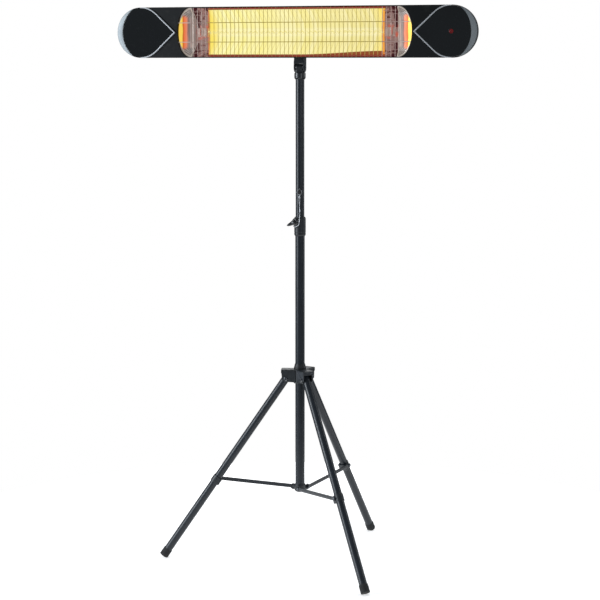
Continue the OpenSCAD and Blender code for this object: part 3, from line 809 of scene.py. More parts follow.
def lamp_bracket():
    """Bright sheet-metal bracket with heat stains, in painted red lamp light: its glow is reddest near the
    lamp and orange along its inner edge.
    """
    f = Finish("lamp_bracket", **{"Metallic": 0.7})
    x, z = abs(f.axis("X")), abs(f.axis("Z") - HEAD_Z * MM)
    # heat stains in the base colour; the same mottle in the glow varies the painted lamp light
    stain_and_glow = f.grain(150, 4, bend=1.2)
    grey = f.mix(stain_and_glow, tone(176, 146, 136), tone(104, 74, 72))
    # painted lamp light: red glow patches, strongest at the lamp's height
    red_glow = f.mix(f.grain(70, 2).rise(0.42, 0.6), grey, tone(206, 98, 76))
    colour = f.mix(z.rise(0.02, 0.012), grey, red_glow)
    # painted light: orange along the inner edge, beside the lamp's bright field
    colour = f.mix(x.rise(0.2205, 0.2192), colour, tone(236, 132, 52))
    f.feed(Base_Color=f.mix(stain_and_glow, tone(110, 94, 90), tone(70, 56, 54)), Emission_Color=colour)
    f.feed(Emission_Strength=0.78, Roughness=0.3 + 0.3 * stain_and_glow)
    return f.bump(stain_and_glow, 0.2, 0.0003).material


def ceramic():
    """Unglazed steatite, stained by heat, with a warm glow of painted lamp light."""
    f = Finish("ceramic", **{"Metallic": 0.0, "IOR": 1.5})
    stain_and_glow = f.grain(90, 4)
    base = f.mix(stain_and_glow, tone(214, 204, 192), tone(168, 148, 134))
    f.feed(Base_Color=base, Roughness=0.6 + 0.2 * stain_and_glow)
    # painted lamp light: a warm glow, mottled like the stains
    f.feed(Emission_Color=f.mix(stain_and_glow, tone(150, 84, 64), tone(90, 48, 40)), Emission_Strength=0.35)
    return f.bump(f.grain(1400, 2), 0.25, 0.00012).material


def guard_wire():
    """Plated wire in painted lamp light: a straw-coloured glow and yellower base in front of the lamp, a dull
    reddish glow in front of the lamp brackets, dark red over the lips, grey beyond the lamp.
    """
    f = Finish("guard_wire", **{"Metallic": 0.9})
    x, z = abs(f.axis("X")), abs(f.axis("Z") - HEAD_Z * MM)
    tint = f.grain(150, 3, (1, 1, 0.4))
    # painted lamp light: the glow and the base colour change with where the wire stands before the lamp
    before = x.rise(FIELD_HALF + 0.002, FIELD_HALF - 0.002)
    far = x.rise(0.256, 0.262)
    dull = f.mix(tint, tone(112, 84, 80), tone(142, 116, 110))
    lit = f.mix(tint, tone(176, 160, 82), tone(140, 122, 58))
    glow = f.mix(before, f.mix(far, dull, tone(176, 164, 158)), lit)
    # painted shade: dark red over the lips
    glow = f.mix(z.rise(LIP - 0.001, LIP + 0.001), glow, tone(92, 36, 28))
    f.feed(Base_Color=f.mix(before, tone(140, 130, 126), tone(110, 98, 60)), Emission_Color=glow)
    f.feed(Emission_Strength=0.8, Roughness=0.32 + 0.2 * tint)
    return f.bump(tint, 0.1, 0.0001).material


def quartz():
    """Clear quartz with fine drawing lines, denser where it is seen edge on."""
    f = Finish("quartz", **{"Metallic": 0.0, "IOR": 1.46})
    drawn = f.grain(300, 2, (0.02, 1, 1))
    edge_on = Sum(f.tree, f.put("ShaderNodeLayerWeight", None, {"Blend": 0.5}).outputs["Facing"])
    f.feed(Base_Color=f.mix(drawn, tone(230, 216, 150), tone(206, 192, 128)), Roughness=0.05 + 0.05 * drawn)
    f.feed(Alpha=0.05 + 0.42 * edge_on.rise(0.55, 0.95) + 0.03 * drawn)
    f.feed(Emission_Color=f.mix(drawn, tone(220, 204, 116), tone(200, 184, 104)), Emission_Strength=0.75)
    return f.bump(drawn, 0.05, 0.0001).material


def carbon_glow():
    """Woven carbon ribbon at working heat."""
    f = Finish("carbon_glow", **{"Metallic": 0.0, "Roughness": 0.8})
    weave = (f.axis("X") * 5200.0).sine() * (f.axis("Z") * 5200.0).sine()
    colour = f.mix(weave * 0.5 + 0.5, tone(246, 232, 146), tone(252, 242, 168))
    f.feed(Base_Color=f.mix(weave * 0.5 + 0.5, tone(14, 12, 10), tone(26, 22, 18)))
    f.feed(Emission_Color=colour, Emission_Strength=0.9)
    return f.material


def red_lens():
    """Moulded red lens lit from inside, brightest in the middle."""
    f = Finish("red_lens", **{"Metallic": 0.0, "IOR": 1.49, "Roughness": 0.12})
    x, z = f.axis("X") - LED_X * MM, f.axis("Z") - HEAD_Z * MM
    off_centre = (x * x + z * z).power(0.5)
    core = off_centre.rise(0.0062, 0.0030) * (0.45 + 0.55 * off_centre.rise(0.0004, 0.0024))
    facets = f.cells(900)
    f.feed(Base_Color=f.mix(core, tone(34, 8, 10), tone(96, 20, 22)))
    f.feed(Emission_Color=f.mix(core * (0.5 + 0.5 * facets), tone(48, 8, 10), tone(206, 60, 62)))
    f.feed(Emission_Strength=0.14)
    return f.bump(facets, 0.3, 0.0002).material


def board_green():
    """Printed board: tracks under solder mask."""
    f = Finish("board_green", **{"Metallic": 0.0, "IOR": 1.5})
    tracks = f.cells(260, "DISTANCE_TO_EDGE").rise(0.02, 0.05)
    f.feed(Base_Color=f.mix(tracks, tone(60, 130, 84), tone(22, 78, 44)), Roughness=0.35 + 0.2 * tracks)
    return f.bump(tracks, 0.3, 0.0001).material


def lead_sleeve():
    """Braided glass-fibre sleeve."""
    f = Finish("lead_sleeve", **{"Metallic": 0.0, "IOR": 1.45})
    braid = ((f.axis("X") + f.axis("Z")) * 4200.0).sine() * ((f.axis("X") - f.axis("Z")) * 4200.0).sine()
    f.feed(Base_Color=f.mix(braid * 0.5 + 0.5, tone(196, 188, 176), tone(150, 142, 130)))
    f.feed(Roughness=0.8 + 0.1 * f.grain(300))
    return f.bump(braid, 0.4, 0.0002).material


def gloss_cast():
    """Smooth moulded black with a soft shine, on the parts that hands touch."""
    f = Finish("gloss_cast", **{"Metallic": 0.0, "IOR": 1.5, "Coat Weight": 0.3, "Coat Roughness": 0.15})
    cloud = f.grain(60, 3)
    worn = f.grain(200, 3).rise(0.55, 0.75)
    base = f.mix(cloud, tone(18, 20, 23), tone(34, 38, 42))
    f.feed(Base_Color=f.mix(worn * 0.2, base, tone(84, 88, 92)), Roughness=0.26 + 0.12 * cloud + 0.1 * worn)
    return f.bump(f.grain(700, 2), 0.15, 0.00012).material


FINISHES = {make.__name__: make() for make in (
    tube_black, cast_black, shell_black, gloss_panel, moulded_black, rubber_black, dark_fastener,
    bright_wire, silver_trim, end_silver, rim_silver, reflector_mirror, end_mirror, lamp_bracket, ceramic,
    guard_wire, quartz, carbon_glow, red_lens, board_green, lead_sleeve, gloss_cast)}


# ---- repeated shapes, made with geometry nodes ----

class Maker:
    """A geometry node tree with named size inputs; it ends in Realize Instances and Set Material."""

    def __init__(self, name, sizes, finish):
        self.tree = bpy.data.node_groups.new(name, "GeometryNodeTree")
        face = self.tree.interface
        face.new_socket("Geometry", in_out="INPUT", socket_type="NodeSocketGeometry")
        self.sizes = sizes
        for label, value in sizes.items():
            kind = "NodeSocketInt" if isinstance(value, int) else "NodeSocketFloat"
            kind = "NodeSocketObject" if isinstance(value, bpy.types.Object) else kind
            face.new_socket(label, in_out="INPUT", socket_type=kind)
        face.new_socket("Geometry", in_out="OUTPUT", socket_type="NodeSocketGeometry")
        self.given = self.tree.nodes.new("NodeGroupInput")
        self.finish = finish

    def put(self, kind, settings=None, inputs=None):
        return put(self.tree, kind, settings, inputs)

    def size(self, label):
        return Sum(self.tree, self.given.outputs[label])

    def three(self, x, y, z):
        return self.put("ShaderNodeCombineXYZ", None, {0: x, 1: y, 2: z}).outputs[0]

    def join(self, *parts):
        node = self.put("GeometryNodeJoinGeometry")
        for part in parts:
            self.tree.links.new(part, node.inputs[0])
        return node.outputs[0]

    def made(self, last, seat):
        """Runs the tree on the seat object and leaves it a plain mesh."""
        real = self.put("GeometryNodeRealizeInstances", None, {0: last})
        coated = self.put("GeometryNodeSetMaterial", None, {
            "Geometry": real.outputs[0], "Material": self.finish})
        out = self.tree.nodes.new("NodeGroupOutput")
        self.tree.links.new(coated.outputs[0], out.inputs[0])
        runner = seat.modifiers.new("maker", "NODES")
        runner.node_group = self.tree
        for item in self.tree.interface.items_tree:
            if item.in_out == "INPUT" and item.name in self.sizes:
                runner[item.identifier] = self.sizes[item.name]
        return settled(seat)


def seat_object(points=(), facings=()):
    """Loose points in millimetres, each with the direction that its part faces."""
    seat = bare_object("seat", Shape(points), tidy=False)
    if facings:
        facing = seat.data.attributes.new("facing", "FLOAT_VECTOR", "POINT")
        facing.data.foreach_set("vector", [c for f in facings for c in f])
    return seat


def set_out(name, part, points, facings, body, slot):
    """Copies of one small part at points, each turned to face its own way."""
    model = bare_object("model", part)
    model.data.polygons.foreach_set("use_smooth", [True] * len(model.data.polygons))
    maker = Maker(name + "_set", {"Part": model}, FINISHES[slot])
    source = maker.put("GeometryNodeObjectInfo", None, {"Object": maker.given.outputs["Part"]})
    facing = maker.put("GeometryNodeInputNamedAttribute", {"data_type": "FLOAT_VECTOR"}, {"Name": "facing"})
    aim = maker.put("FunctionNodeAlignRotationToVector", {"axis": "Z"}, {"Vector": facing.outputs[0]})
    copies = maker.put("GeometryNodeInstanceOnPoints", None, {
        "Points": maker.given.outputs["Geometry"], "Instance": source.outputs["Geometry"],
        "Rotation": aim.outputs[0]})
    seat = maker.made(copies.outputs[0], seat_object(points, facings))
    bpy.data.objects.remove(model)
    finished(seat, name, body, slot)


# ---- the retaining wire ----

def bearing(joint):
    """The direction of a joint's axis round the mast, in degrees."""
    axis = JOINTS[joint]["axis"]
    return math.degrees(math.atan2(axis[1], axis[0]))


PIN_AZIMUTH = bearing("pin_pull")
PIN_Z = 915
# Right of the mast, in front of it and height, as seen from the pin's side
LANYARD_ROUTE = [
    (0, 13, 908), (0, 13, 904), (0, 13, 898), (0.2, 13, 890), (0.5, 13, 882),
    (0.8, 13.2, 874), (1, 14, 866), (1, 15.5, 860), (0.6, 17.5, 854), (0.4, 19.2, 849), (0.2, 20, 843),
    (-1, 19, 837.5), (-4.6, 16.6, 833), (-9.4, 13.4, 831), (-13.5, 10.2, 832)]
LANYARD_R = 1


def seen(point):
    """Places a route point given as right, front and height."""
    a = math.radians(PIN_AZIMUTH)
    right, front, height = point
    return Vector((-right * math.sin(a) + front * math.cos(a),
                   right * math.cos(a) + front * math.sin(a), height))


def lanyard():
    route = smooth_path([seen(p) for p in LANYARD_ROUTE], 8)
    strands = along(route, LANYARD_R, 21, lobes=7, depth=0.22, twist=1.1)
    wire = piece("lanyard", strands, "lock_pin", "bright_wire", crease=60)
    start, end = route[0], route[-1]
    up = (route[0] - route[1]).normalized()
    crimp = ring_of(2, 0.9, -3.4, 3.4, 0.6, 24)
    both = crimp.placed(frame_on(start - up * 6, (1, 0, 0), up))
    out = (route[-1] - route[-3]).normalized()
    both += crimp.placed(frame_on(end - out * 2.6, (0, 0, 1), out))
    crimps = piece("lanyard_crimps", both, "lock_pin", "bright_wire", stands_for=())
    length = sum((b - a).length for a, b in zip(route, route[1:])) * MM
    start * MM
    [p * MM for p in route]
    pin_ring()


def pin_ring():
    """Split ring under the pin's head: two turns of wire and a small lug at the top."""
    radius, wire = 5.6, 1.0
    turns = []
    for k in range(97):
        a = TURN * k / 48
        turns.append((radius * math.cos(a), radius * math.sin(a), 1.1 * (k / 96 - 0.5)))
    ring = along([Vector(p) for p in turns], 0.72, 12)
    lug = ring_of(1.7, 0.8, -0.8, 0.8, 0.3, 20).moved(x=-radius - wire - 0.3)
    place = outwards(PIN_AZIMUTH, PIN_Z) @ Matrix.Translation((0.4, 0, 12.4))
    return piece("pin_ring", (ring + lug).placed(place), "lock_pin", "bright_wire")


lanyard()


# ---- mast ----

def plain_tube(name, radius):
    low, high = extent(name)
    wall = ring_of(radius, radius - TUBE_WALL, low.z, high.z, 0.28, 96)
    return bare_object(name + "_mesh", wall)


def mast():
    lower = plain_tube("lower_tube", LOWER_R)
    finished(lower, "lower_tube", "mast_lower", "tube_black")
    upper = plain_tube("upper_tube", UPPER_R)
    carve(upper, disc_of(PIN_HOLE_R, -20, 20, 0, 32).placed(outwards(PIN_AZIMUTH, PIN_Z)))
    finished(upper, "upper_tube", "mast_upper", "tube_black")
    foot_z = extent("tube_plug")[0].z
    plug_profile = softened([(0, foot_z), (9.6, foot_z), (LOWER_R, foot_z + 1), (LOWER_R, foot_z + 2.9),
                             (10.7, foot_z + 3), (10.7, foot_z + 20), (9, foot_z + 21), (0, foot_z + 21)],
                            0.5, 3, closed=False)
    piece("tube_plug", turned(plug_profile, 64), "mast_lower", "moulded_black")
    guide_low, guide_high = extent("guide_plug")
    seat = guide_low.z + 11.9
    ribs = [(10.72 - (0.5 if k % 2 else 0), guide_low.z + 1.2 + k * 1.2) for k in range(8)]
    guide = softened([(0, guide_low.z), (10.2, guide_low.z)] + ribs + [(10.72, seat), (9.7, seat),
                     (9.7, guide_high.z), (0, guide_high.z)], 0.3, 2, closed=False)
    piece("guide_plug", turned(guide, 64), "mast_upper", "moulded_black")


KNOB_AZIMUTH, CLAMP_Z = 245, 843


def clamp():
    low, high = extent("clamp_collar")
    z0, z1, tube_top = low.z, high.z, extent("lower_tube")[1].z
    outline = [(LOWER_R + 0.05, z0), (12.6, z0), (14, z0 + 3.2), (14, z0 + 7), (13.6, z0 + 7.5),
               (13.6, z0 + 8.6), (14, z0 + 9.1), (14, z1 - 6), (13.9, z1 - 3.2), (12.4, z1),
               (UPPER_R + 0.05, z1), (UPPER_R + 0.05, tube_top + 0.1), (LOWER_R + 0.05, tube_top + 0.1)]
    collar = bare_object("collar_mesh", turned(softened(outline, 0.5, 3), 96, closed=True))
    boss = [(0, 12.2), (8.2, 12.2), (6.6, 14.2), (6, 15), (0, 15)]
    boss = softened(boss, [0, 0, 1.2, 0.5, 0], 4, closed=False)
    carve(collar, turned(boss, 48).placed(outwards(KNOB_AZIMUTH, CLAMP_Z)), "UNION")
    carve(collar, disc_of(UPPER_R + 0.05, z0 + 22.2, z1 + 1, 0, 96))
    split = slab([rectangle(0.7, 3)], 60, 0)
    carve(collar, split.moved(y=14, z=z0 - 5))
    carve(collar, disc_of(KNOB_HOLE_R, 5, 22, 0, 32).placed(outwards(KNOB_AZIMUTH, CLAMP_Z)))
    finished(collar, "clamp_collar", "mast_lower", "cast_black")
    head = softened([(0, 12.2), (3, 12.2), (3, 15.4), (8.6, 15.4), (9.5, 16.2), (9.5, 18), (8.8, 19),
                     (7.2, 21), (5.8, 21.4), (5.2, 20.6), (0, 20.4)],
                    [0, 0.3, 0.3, 0.6, 0.4, 0.4, 0.6, 0.8, 0.4, 0.6, 0], 3, closed=False)
    spine = [(0, 0, 20.5), (3, -4.4, 22.6), (6, -8.6, 26.6), (8, -11.6, 29.8), (9, -13.2, 31.6)]
    beak = along(smooth_path(spine, 4), [7.2 - 5.6 * (k / 16) ** 1.1 for k in range(17)], 20, flatten=0.85)
    knob = bare_object("knob_mesh", turned(head, 48).placed(outwards(KNOB_AZIMUTH, CLAMP_Z)))
    carve(knob, beak.placed(outwards(KNOB_AZIMUTH, CLAMP_Z)), "UNION")
    finished(knob, "clamp_knob", "clamp_knob", "moulded_black", finish="gloss_cast", crease=50)


def lock_pin():
    head = softened([(0, -15), (2.4, -15), (3, -14.2), (3, 13.6), (4.2, 13.8), (4.2, 16.6), (3.4, 18.2),
                     (1.6, 18.6), (0, 18.6)], [0, 0.4, 0.4, 0.2, 0.4, 0.5, 0.6, 0.5, 0], 3, closed=False)
    piece("lock_pin", turned(head, 40).placed(outwards(PIN_AZIMUTH, PIN_Z)), "lock_pin", "moulded_black")


# ---- tripod ----

HUB_Z0, HUB_Z1, HUB_PLATE = 445, 480, 3.0
CHEEK_IN, CHEEK_T, LOBE_END = LEG_R + 0.8, 2.6, 44
BOLT_R = 3
LEG_OVER, FOOT_LEN, FOOT_SOLE = 7.5, 21, 4
BRACE_Y, BRACE_T, BRACE_HALF = 13.5, 3, 4.5


def pivot(joint):
    return Vector(JOINTS[joint]["pos_m"]) / MM


def leg_azimuth(side):
    place = pivot("leg_fold_" + side)
    return math.degrees(math.atan2(place.y, place.x))


AZIMUTHS = [leg_azimuth(side) for side in SIDES]
HINGE_Z = pivot("leg_fold_left").z
HINGE_R = pivot("leg_fold_left").xy.length
LEG_TILT = JOINTS["leg_fold_left"]["range_deg"][1]
BRACE_Z = pivot("brace_fold_left").z
BRACE_R = math.sqrt(pivot("brace_fold_left").xy.length_squared - BRACE_Y ** 2)


def leg_plane(azimuth):
    """X points outwards along the leg, Y round the mast."""
    return turn("Z", azimuth)


def along_leg(azimuth):
    """Origin on the leg's hinge, Z down the tube."""
    return leg_plane(azimuth) @ Matrix.Translation((HINGE_R, 0, HINGE_Z)) @ turn("Y", 180 - LEG_TILT)


def rod_y(radius, y0, y1, edge=0.3, sides=40):
    """A bar along Y."""
    return disc_of(radius, y0, y1, edge, sides).placed(turn("X", -90))


LEG_REACH = (HINGE_Z - (FOOT_R * math.sin(math.radians(LEG_TILT)) - 1.5)) / math.cos(math.radians(LEG_TILT))
RIVET_Z = 201
RIVET_AT = (HINGE_Z - RIVET_Z) / math.cos(math.radians(LEG_TILT))
RIVET_R = HINGE_R + RIVET_AT * math.sin(math.radians(LEG_TILT))
BRACE_LEN = math.hypot(RIVET_R - BRACE_R, RIVET_Z - BRACE_Z)
BRACE_RISE = math.degrees(math.atan2(RIVET_Z - BRACE_Z, RIVET_R - BRACE_R))


def hub_outline(half, reach, inner=6, corner=4):
    """Plan of three blunt lobes round the mast, rounded where they meet."""
    meet = half / math.sin(math.radians(60))
    points, radii = [], []
    for azimuth in sorted(a % 360 for a in AZIMUTHS):
        a = math.radians(azimuth)
        out, left = Vector((math.cos(a), math.sin(a))), Vector((-math.sin(a), math.cos(a)))
        before = math.radians(azimuth - 60)
        points.append((meet * math.cos(before), meet * math.sin(before)))
        points.append(tuple(out * reach - left * half))
        points.append(tuple(out * reach + left * half))
        radii += [inner, corner, corner]
    return softened(points, radii, 6)


def cheek_outline():
    """Side view of a lobe's cheek: deep at the mast, rounded where the leg swings out."""
    corners = [(10, HUB_Z0 + 3), (LOBE_END - 6, HUB_Z0 + 4.5), (LOBE_END, HUB_Z0 + 11),
               (LOBE_END + 1.4, HUB_Z1 - 1.2), (10, HUB_Z1 - 1.2)]
    return softened(corners, [0.5, 7, 3, 0.5, 0.5], 6)


def hub():
    inner = extent("hub_liner")[1].x
    plate = slab([hub_outline(14.6, LOBE_END + 2)], HUB_PLATE, 1.1, 3).moved(z=HUB_Z1 - HUB_PLATE)
    crown = bare_object("crown_mesh", plate)
    barrel = [(0, HUB_Z0), (15.5, HUB_Z0), (15.5, HUB_Z1 - 1), (0, HUB_Z1 - 1)]
    carve(crown, turned(softened(barrel, 0.8, 3, False), 72), "UNION")
    hole = circle((HINGE_R, HINGE_Z), BOLT_R + 0.05, 32)
    cheek = slab([cheek_outline(), hole], CHEEK_T, 0.7, 2).placed(frame_on((0, 0, 0), *TO_FRONT))
    for azimuth in AZIMUTHS:
        for start in (-CHEEK_IN, CHEEK_IN + CHEEK_T):
            carve(crown, cheek.moved(y=start).placed(leg_plane(azimuth)), "UNION")
    skirt = softened([(43.6, -14.2), (46, -14.2), (46, 14.2), (43.6, 14.2)], [0.3, 2, 2, 0.3], 4)
    for azimuth in AZIMUTHS:
        carve(crown, slab([skirt], 8.5, 0.5, 2).moved(z=470.5).placed(leg_plane(azimuth)), "UNION")
    carve(crown, disc_of(13, HUB_Z0 - 1, HUB_Z1 + 1, 0, 72))
    knob_hole = disc_of(KNOB_HOLE_R, 8, 20, 0, 32).placed(outwards(HUB_KNOB_AZIMUTH, HUB_KNOB_Z))
    carve(crown, knob_hole)
    finished(crown, "hub_crown", "hub", "cast_black")
    liner = bare_object("liner_mesh", ring_of(inner, LOWER_R + 0.05, HUB_Z0, HUB_Z1, 0.4, 72))
    carve(liner, knob_hole)
    finished(liner, "hub_liner", "hub", "moulded_black")
    low = extent("hub_ring")[0].z
    outline = [(LOWER_R + 0.05, low), (15, low), (15, low + 4.8), (14.6, low + 5.4), (14.2, low + 5.4),
               (14, low + 6.2), (12.6, low + 13), (LOWER_R + 0.05, low + 13)]
    piece("hub_ring", turned(softened(outline, 0.5, 3), 72, True), "hub", "moulded_black")
    reach = CHEEK_IN + CHEEK_T
    dome = [(0, -2 * reach - 1), (BOLT_R, -2 * reach - 1), (BOLT_R, 0.05), (5, 0.05), (5, 1.2),
            (3.4, 2.5), (1.8, 2.7), (1.6, 1.6), (0, 1.6)]
    bolt = turned(softened(dome, [0, 0.4, 0, 0.3, 0.6, 0.8, 0.2, 0.1, 0], 3, False), 32)
    nut = slab([softened(hexagon(5.6), 0.5, 2), circle((0, 0), BOLT_R - 0.1, 24)], 3, 0.5, 2)
    bolt += nut.moved(z=-2 * reach - 3.1)
    bolt += disc_of(BOLT_R - 0.1, -2 * reach - 4, -2 * reach, 0.5, 24)
    ways = [leg_plane(a) @ Vector((0, 1, 0)) for a in AZIMUTHS]
    seats = [leg_plane(a) @ Vector((HINGE_R, reach, HINGE_Z)) for a in AZIMUTHS]
    set_out("hub_bolts", bolt, seats, ways, "hub", "dark_fastener")


HUB_KNOB_AZIMUTH = bearing("hub_knob_turn")
HUB_KNOB_Z = 460


def hub_knob():
    """Six-lobed thumb knob on its screw."""
    grip = []
    for k in range(96):
        a = TURN * k / 96
        r = 8.2 + 0.8 * math.cos(6 * a)
        grip.append((r * math.cos(a), r * math.sin(a)))
    shape = slab([grip], 13, 1.4, 4).moved(z=22)
    shape += disc_of(4.2, 18.2, 22.4, 0.3, 40) + disc_of(3, 12.4, 20, 0.3, 32)
    shape += ring_of(5.2, 4.2, 34.6, 35.4, 0.3, 40)
    piece("hub_knob", shape.placed(outwards(HUB_KNOB_AZIMUTH, HUB_KNOB_Z)), "hub_knob", "moulded_black")


def leg(side, azimuth):
    end = LEG_REACH - FOOT_SOLE - 0.05
    tube = bare_object("leg_mesh", ring_of(LEG_R, LEG_R - 1, -LEG_OVER, end, 0.35, 72))
    carve(tube, rod_y(BOLT_R + 0.05, -20, 20, 0))
    tube.data.transform(scaled(along_leg(azimuth)))
    finished(tube, "leg_" + side, "leg_" + side, "tube_black")


def scaled(matrix):
    """A placing matrix in millimetres as one in metres."""
    metres = matrix.copy()
    metres.translation = matrix.translation * MM
    return metres


def foot(side, azimuth):
    """Ribbed rubber cup on the leg's end, cut flat where it stands."""
    z0 = LEG_REACH - FOOT_LEN
    outline = [(LEG_R + 0.05, z0), (10.4, z0), (11.0, z0 + 2.2)]
    for k in range(4):
        rib = z0 + 4 + 2.6 * k
        outline += [(11.2, rib), (11.2, rib + 1.5), (10.75, rib + 1.8), (10.75, rib + 2.3)]
    outline += [(11.2, z0 + 14.6), (11.2, LEG_REACH), (0, LEG_REACH), (0, LEG_REACH - FOOT_SOLE),
                (LEG_R + 0.05, LEG_REACH - FOOT_SOLE)]
    cup = turned(softened(outline + [outline[0]], 0.35, 2, closed=False), 64)
    rubber = bare_object("foot_mesh", cup.placed(along_leg(azimuth)))
    ground = slab([rectangle(500, 500)], 60, 0)
    carve(rubber, ground.moved(z=-60))
    finished(rubber, "foot_" + side, "leg_" + side, "rubber_black")


def leg_clip(side, azimuth):
    """Moulded clip round the leg that carries the brace's rivet."""
    clip_r = BRACE_Y - BRACE_T / 2 - 0.5
    outline = arc((0, 0), clip_r, 90, 270, 24) + [(12.5, -clip_r), (12.5, clip_r)]
    outline = softened(outline, [0] * 25 + [1.6, 1.6], 5)
    shape = slab([outline, circle((0, 0), LEG_R + 0.05, 56)], 18, 1.1, 3).moved(z=RIVET_AT - 9)
    piece("leg_collar_" + side, shape.placed(along_leg(azimuth)), "leg_" + side, "cast_black")


def rivet(depth):
    """Domed rivet, seated at z 0, with its shank this deep."""
    outline = [(0, -depth), (2.5, -depth), (2.5, 0.3), (4.2, 0.3), (4.1, 1.2), (2.8, 2), (0, 2.1)]
    return turned(softened(outline, [0, 0.3, 0, 0.2, 0.6, 1, 0], 3, False), 32)


def brace(side, azimuth):
    """Flat strip brace with round ends and a pressed rib down the middle."""
    end_r = BRACE_HALF + 0.8
    bite = math.degrees(math.asin(BRACE_HALF / end_r))
    outline = arc((0, 0), end_r, bite, 360 - bite, 24)
    outline += arc((BRACE_LEN, 0), end_r, 180 + bite, 540 - bite, 24)
    holes = [circle((x, 0), RIVET_HOLE_R, 24) for x in (0, BRACE_LEN)]
    strip = slab([outline, *holes], BRACE_T, 0.5, 2)
    rib = softened([(14, -1.3), (BRACE_LEN - 14, -1.3), (BRACE_LEN - 14, 1.3), (14, 1.3)], 1.2, 4)
    strip += slab([rib], 0.5, 0.35, 2).moved(z=BRACE_T - 0.08)
    strip = strip.moved(z=-BRACE_T / 2)
    place = leg_plane(azimuth) @ Matrix.Translation((BRACE_R, -BRACE_Y, BRACE_Z)) @ turn("Y", -BRACE_RISE)
    piece("brace_" + side, strip.placed(place @ turn("X", 90)), "brace_" + side, "tube_black")
    seat = place @ Vector((BRACE_LEN, -BRACE_T / 2, 0))
    facing = place.to_3x3() @ Vector((0, -1, 0))
    set_out("brace_rivet_" + side, rivet(BRACE_T + 0.2), [seat], [facing], "brace_" + side, "dark_fastener")


def bottom_bracket():
    low = extent("lower_tube")[0].z
    wall = [(LOWER_R + 0.05, low), (13.2, low), (13.7, low + 1), (13.7, low + 14), (12.8, low + 16),
            (LOWER_R + 0.05, low + 16)]
    bracket = bare_object("bracket_mesh", turned(softened(wall, 0.5, 3), 72, True))
    ear_y = BRACE_Y - BRACE_T / 2 - 0.3
    swing = math.degrees(math.asin(6 / 7.4))
    ear = [(4, BRACE_Z - 6)] + arc((BRACE_R, BRACE_Z), 7.4, -180 + swing + 0.1, 180 - swing - 0.1, 28)
    ear += [(4, BRACE_Z + 6)]
    plate = slab([ear, circle((BRACE_R, BRACE_Z), RIVET_HOLE_R, 24)], 2.6, 0.5, 2)
    plate = plate.placed(frame_on((0, 0, 0), *TO_FRONT)).moved(y=-ear_y + 2.6)
    for azimuth in AZIMUTHS:
        carve(bracket, plate.placed(leg_plane(azimuth)), "UNION")
    carve(bracket, disc_of(LOWER_R + 0.05, low - 4, low + 20, 0, 72))
    finished(bracket, "bottom_bracket", "mast_lower", "cast_black")
    seats = [leg_plane(a) @ Vector((BRACE_R, -BRACE_Y - BRACE_T / 2, BRACE_Z)) for a in AZIMUTHS]
    ways = [leg_plane(a) @ Vector((0, -1, 0)) for a in AZIMUTHS]
    set_out("bracket_rivets", rivet(6), seats, ways, "mast_lower", "dark_fastener")


# ---- head joint ----

def head_joint():
    low = extent("head_socket")[0].z
    tube_top = extent("upper_tube")[1].z + 0.3
    sleeve = [(UPPER_R + 0.05, low), (12, low), (13.7, low + 4), (13.7, low + 14.6), (12.6, low + 16),
              (0, low + 16), (0, tube_top), (UPPER_R + 0.05, tube_top)]
    sleeve = softened(sleeve, [0, 0.6, 0.8, 0.8, 0.6, 0, 0, 0], 4)
    socket = bare_object("socket_mesh", turned(sleeve, 72, True))
    neck = [(-9, low + 13), (9, low + 13)] + arc((0, TILT_Z), 11, -30, 210, 36)
    knuckle = slab([softened(neck, [0.5, 0.5] + [0] * 37, 3)], 20, 4.6, 6).placed(ALONG_X).moved(x=-10)
    carve(socket, knuckle, "UNION")
    carve(socket, disc_of(BOLT_R + 0.05, -14, 14, 0, 40).placed(ALONG_X).moved(z=TILT_Z))
    carve(socket, disc_of(2.55, 10, 20, 0, 32).placed(outwards(90, low + 8)))
    finished(socket, "head_socket", "head", "cast_black", finish="gloss_cast", crease=40)
    screw = [(0, UPPER_R + 0.3), (2.5, UPPER_R + 0.3), (2.5, 14), (4.5, 14), (4.4, 15.6),
             (3.2, 16.5), (0, 16.6)]
    screw = softened(screw, [0, 0.3, 0, 0.2, 0.5, 0.8, 0], 3, False)
    piece("socket_screw", turned(screw, 32).placed(outwards(90, low + 8)), "head", "dark_fastener")
    head = [(0, 13.6), (2, 13.6), (2.2, 14.4), (4.6, 14.4), (5.2, 13.9), (5.2, 13), (BOLT_R, 13)]
    head = softened(head, [0, 0.1, 0.1, 0.3, 0.3, 0.1, 0], 3, False)
    both = turned(head + [(r, -x) for r, x in reversed(head)], 40).placed(ALONG_X)
    piece("tilt_bolt", both.moved(z=TILT_Z), "head", "dark_fastener")


PLATE_SCREWS = [(x, z) for x in (-20, 20) for z in (1263, 1292)]


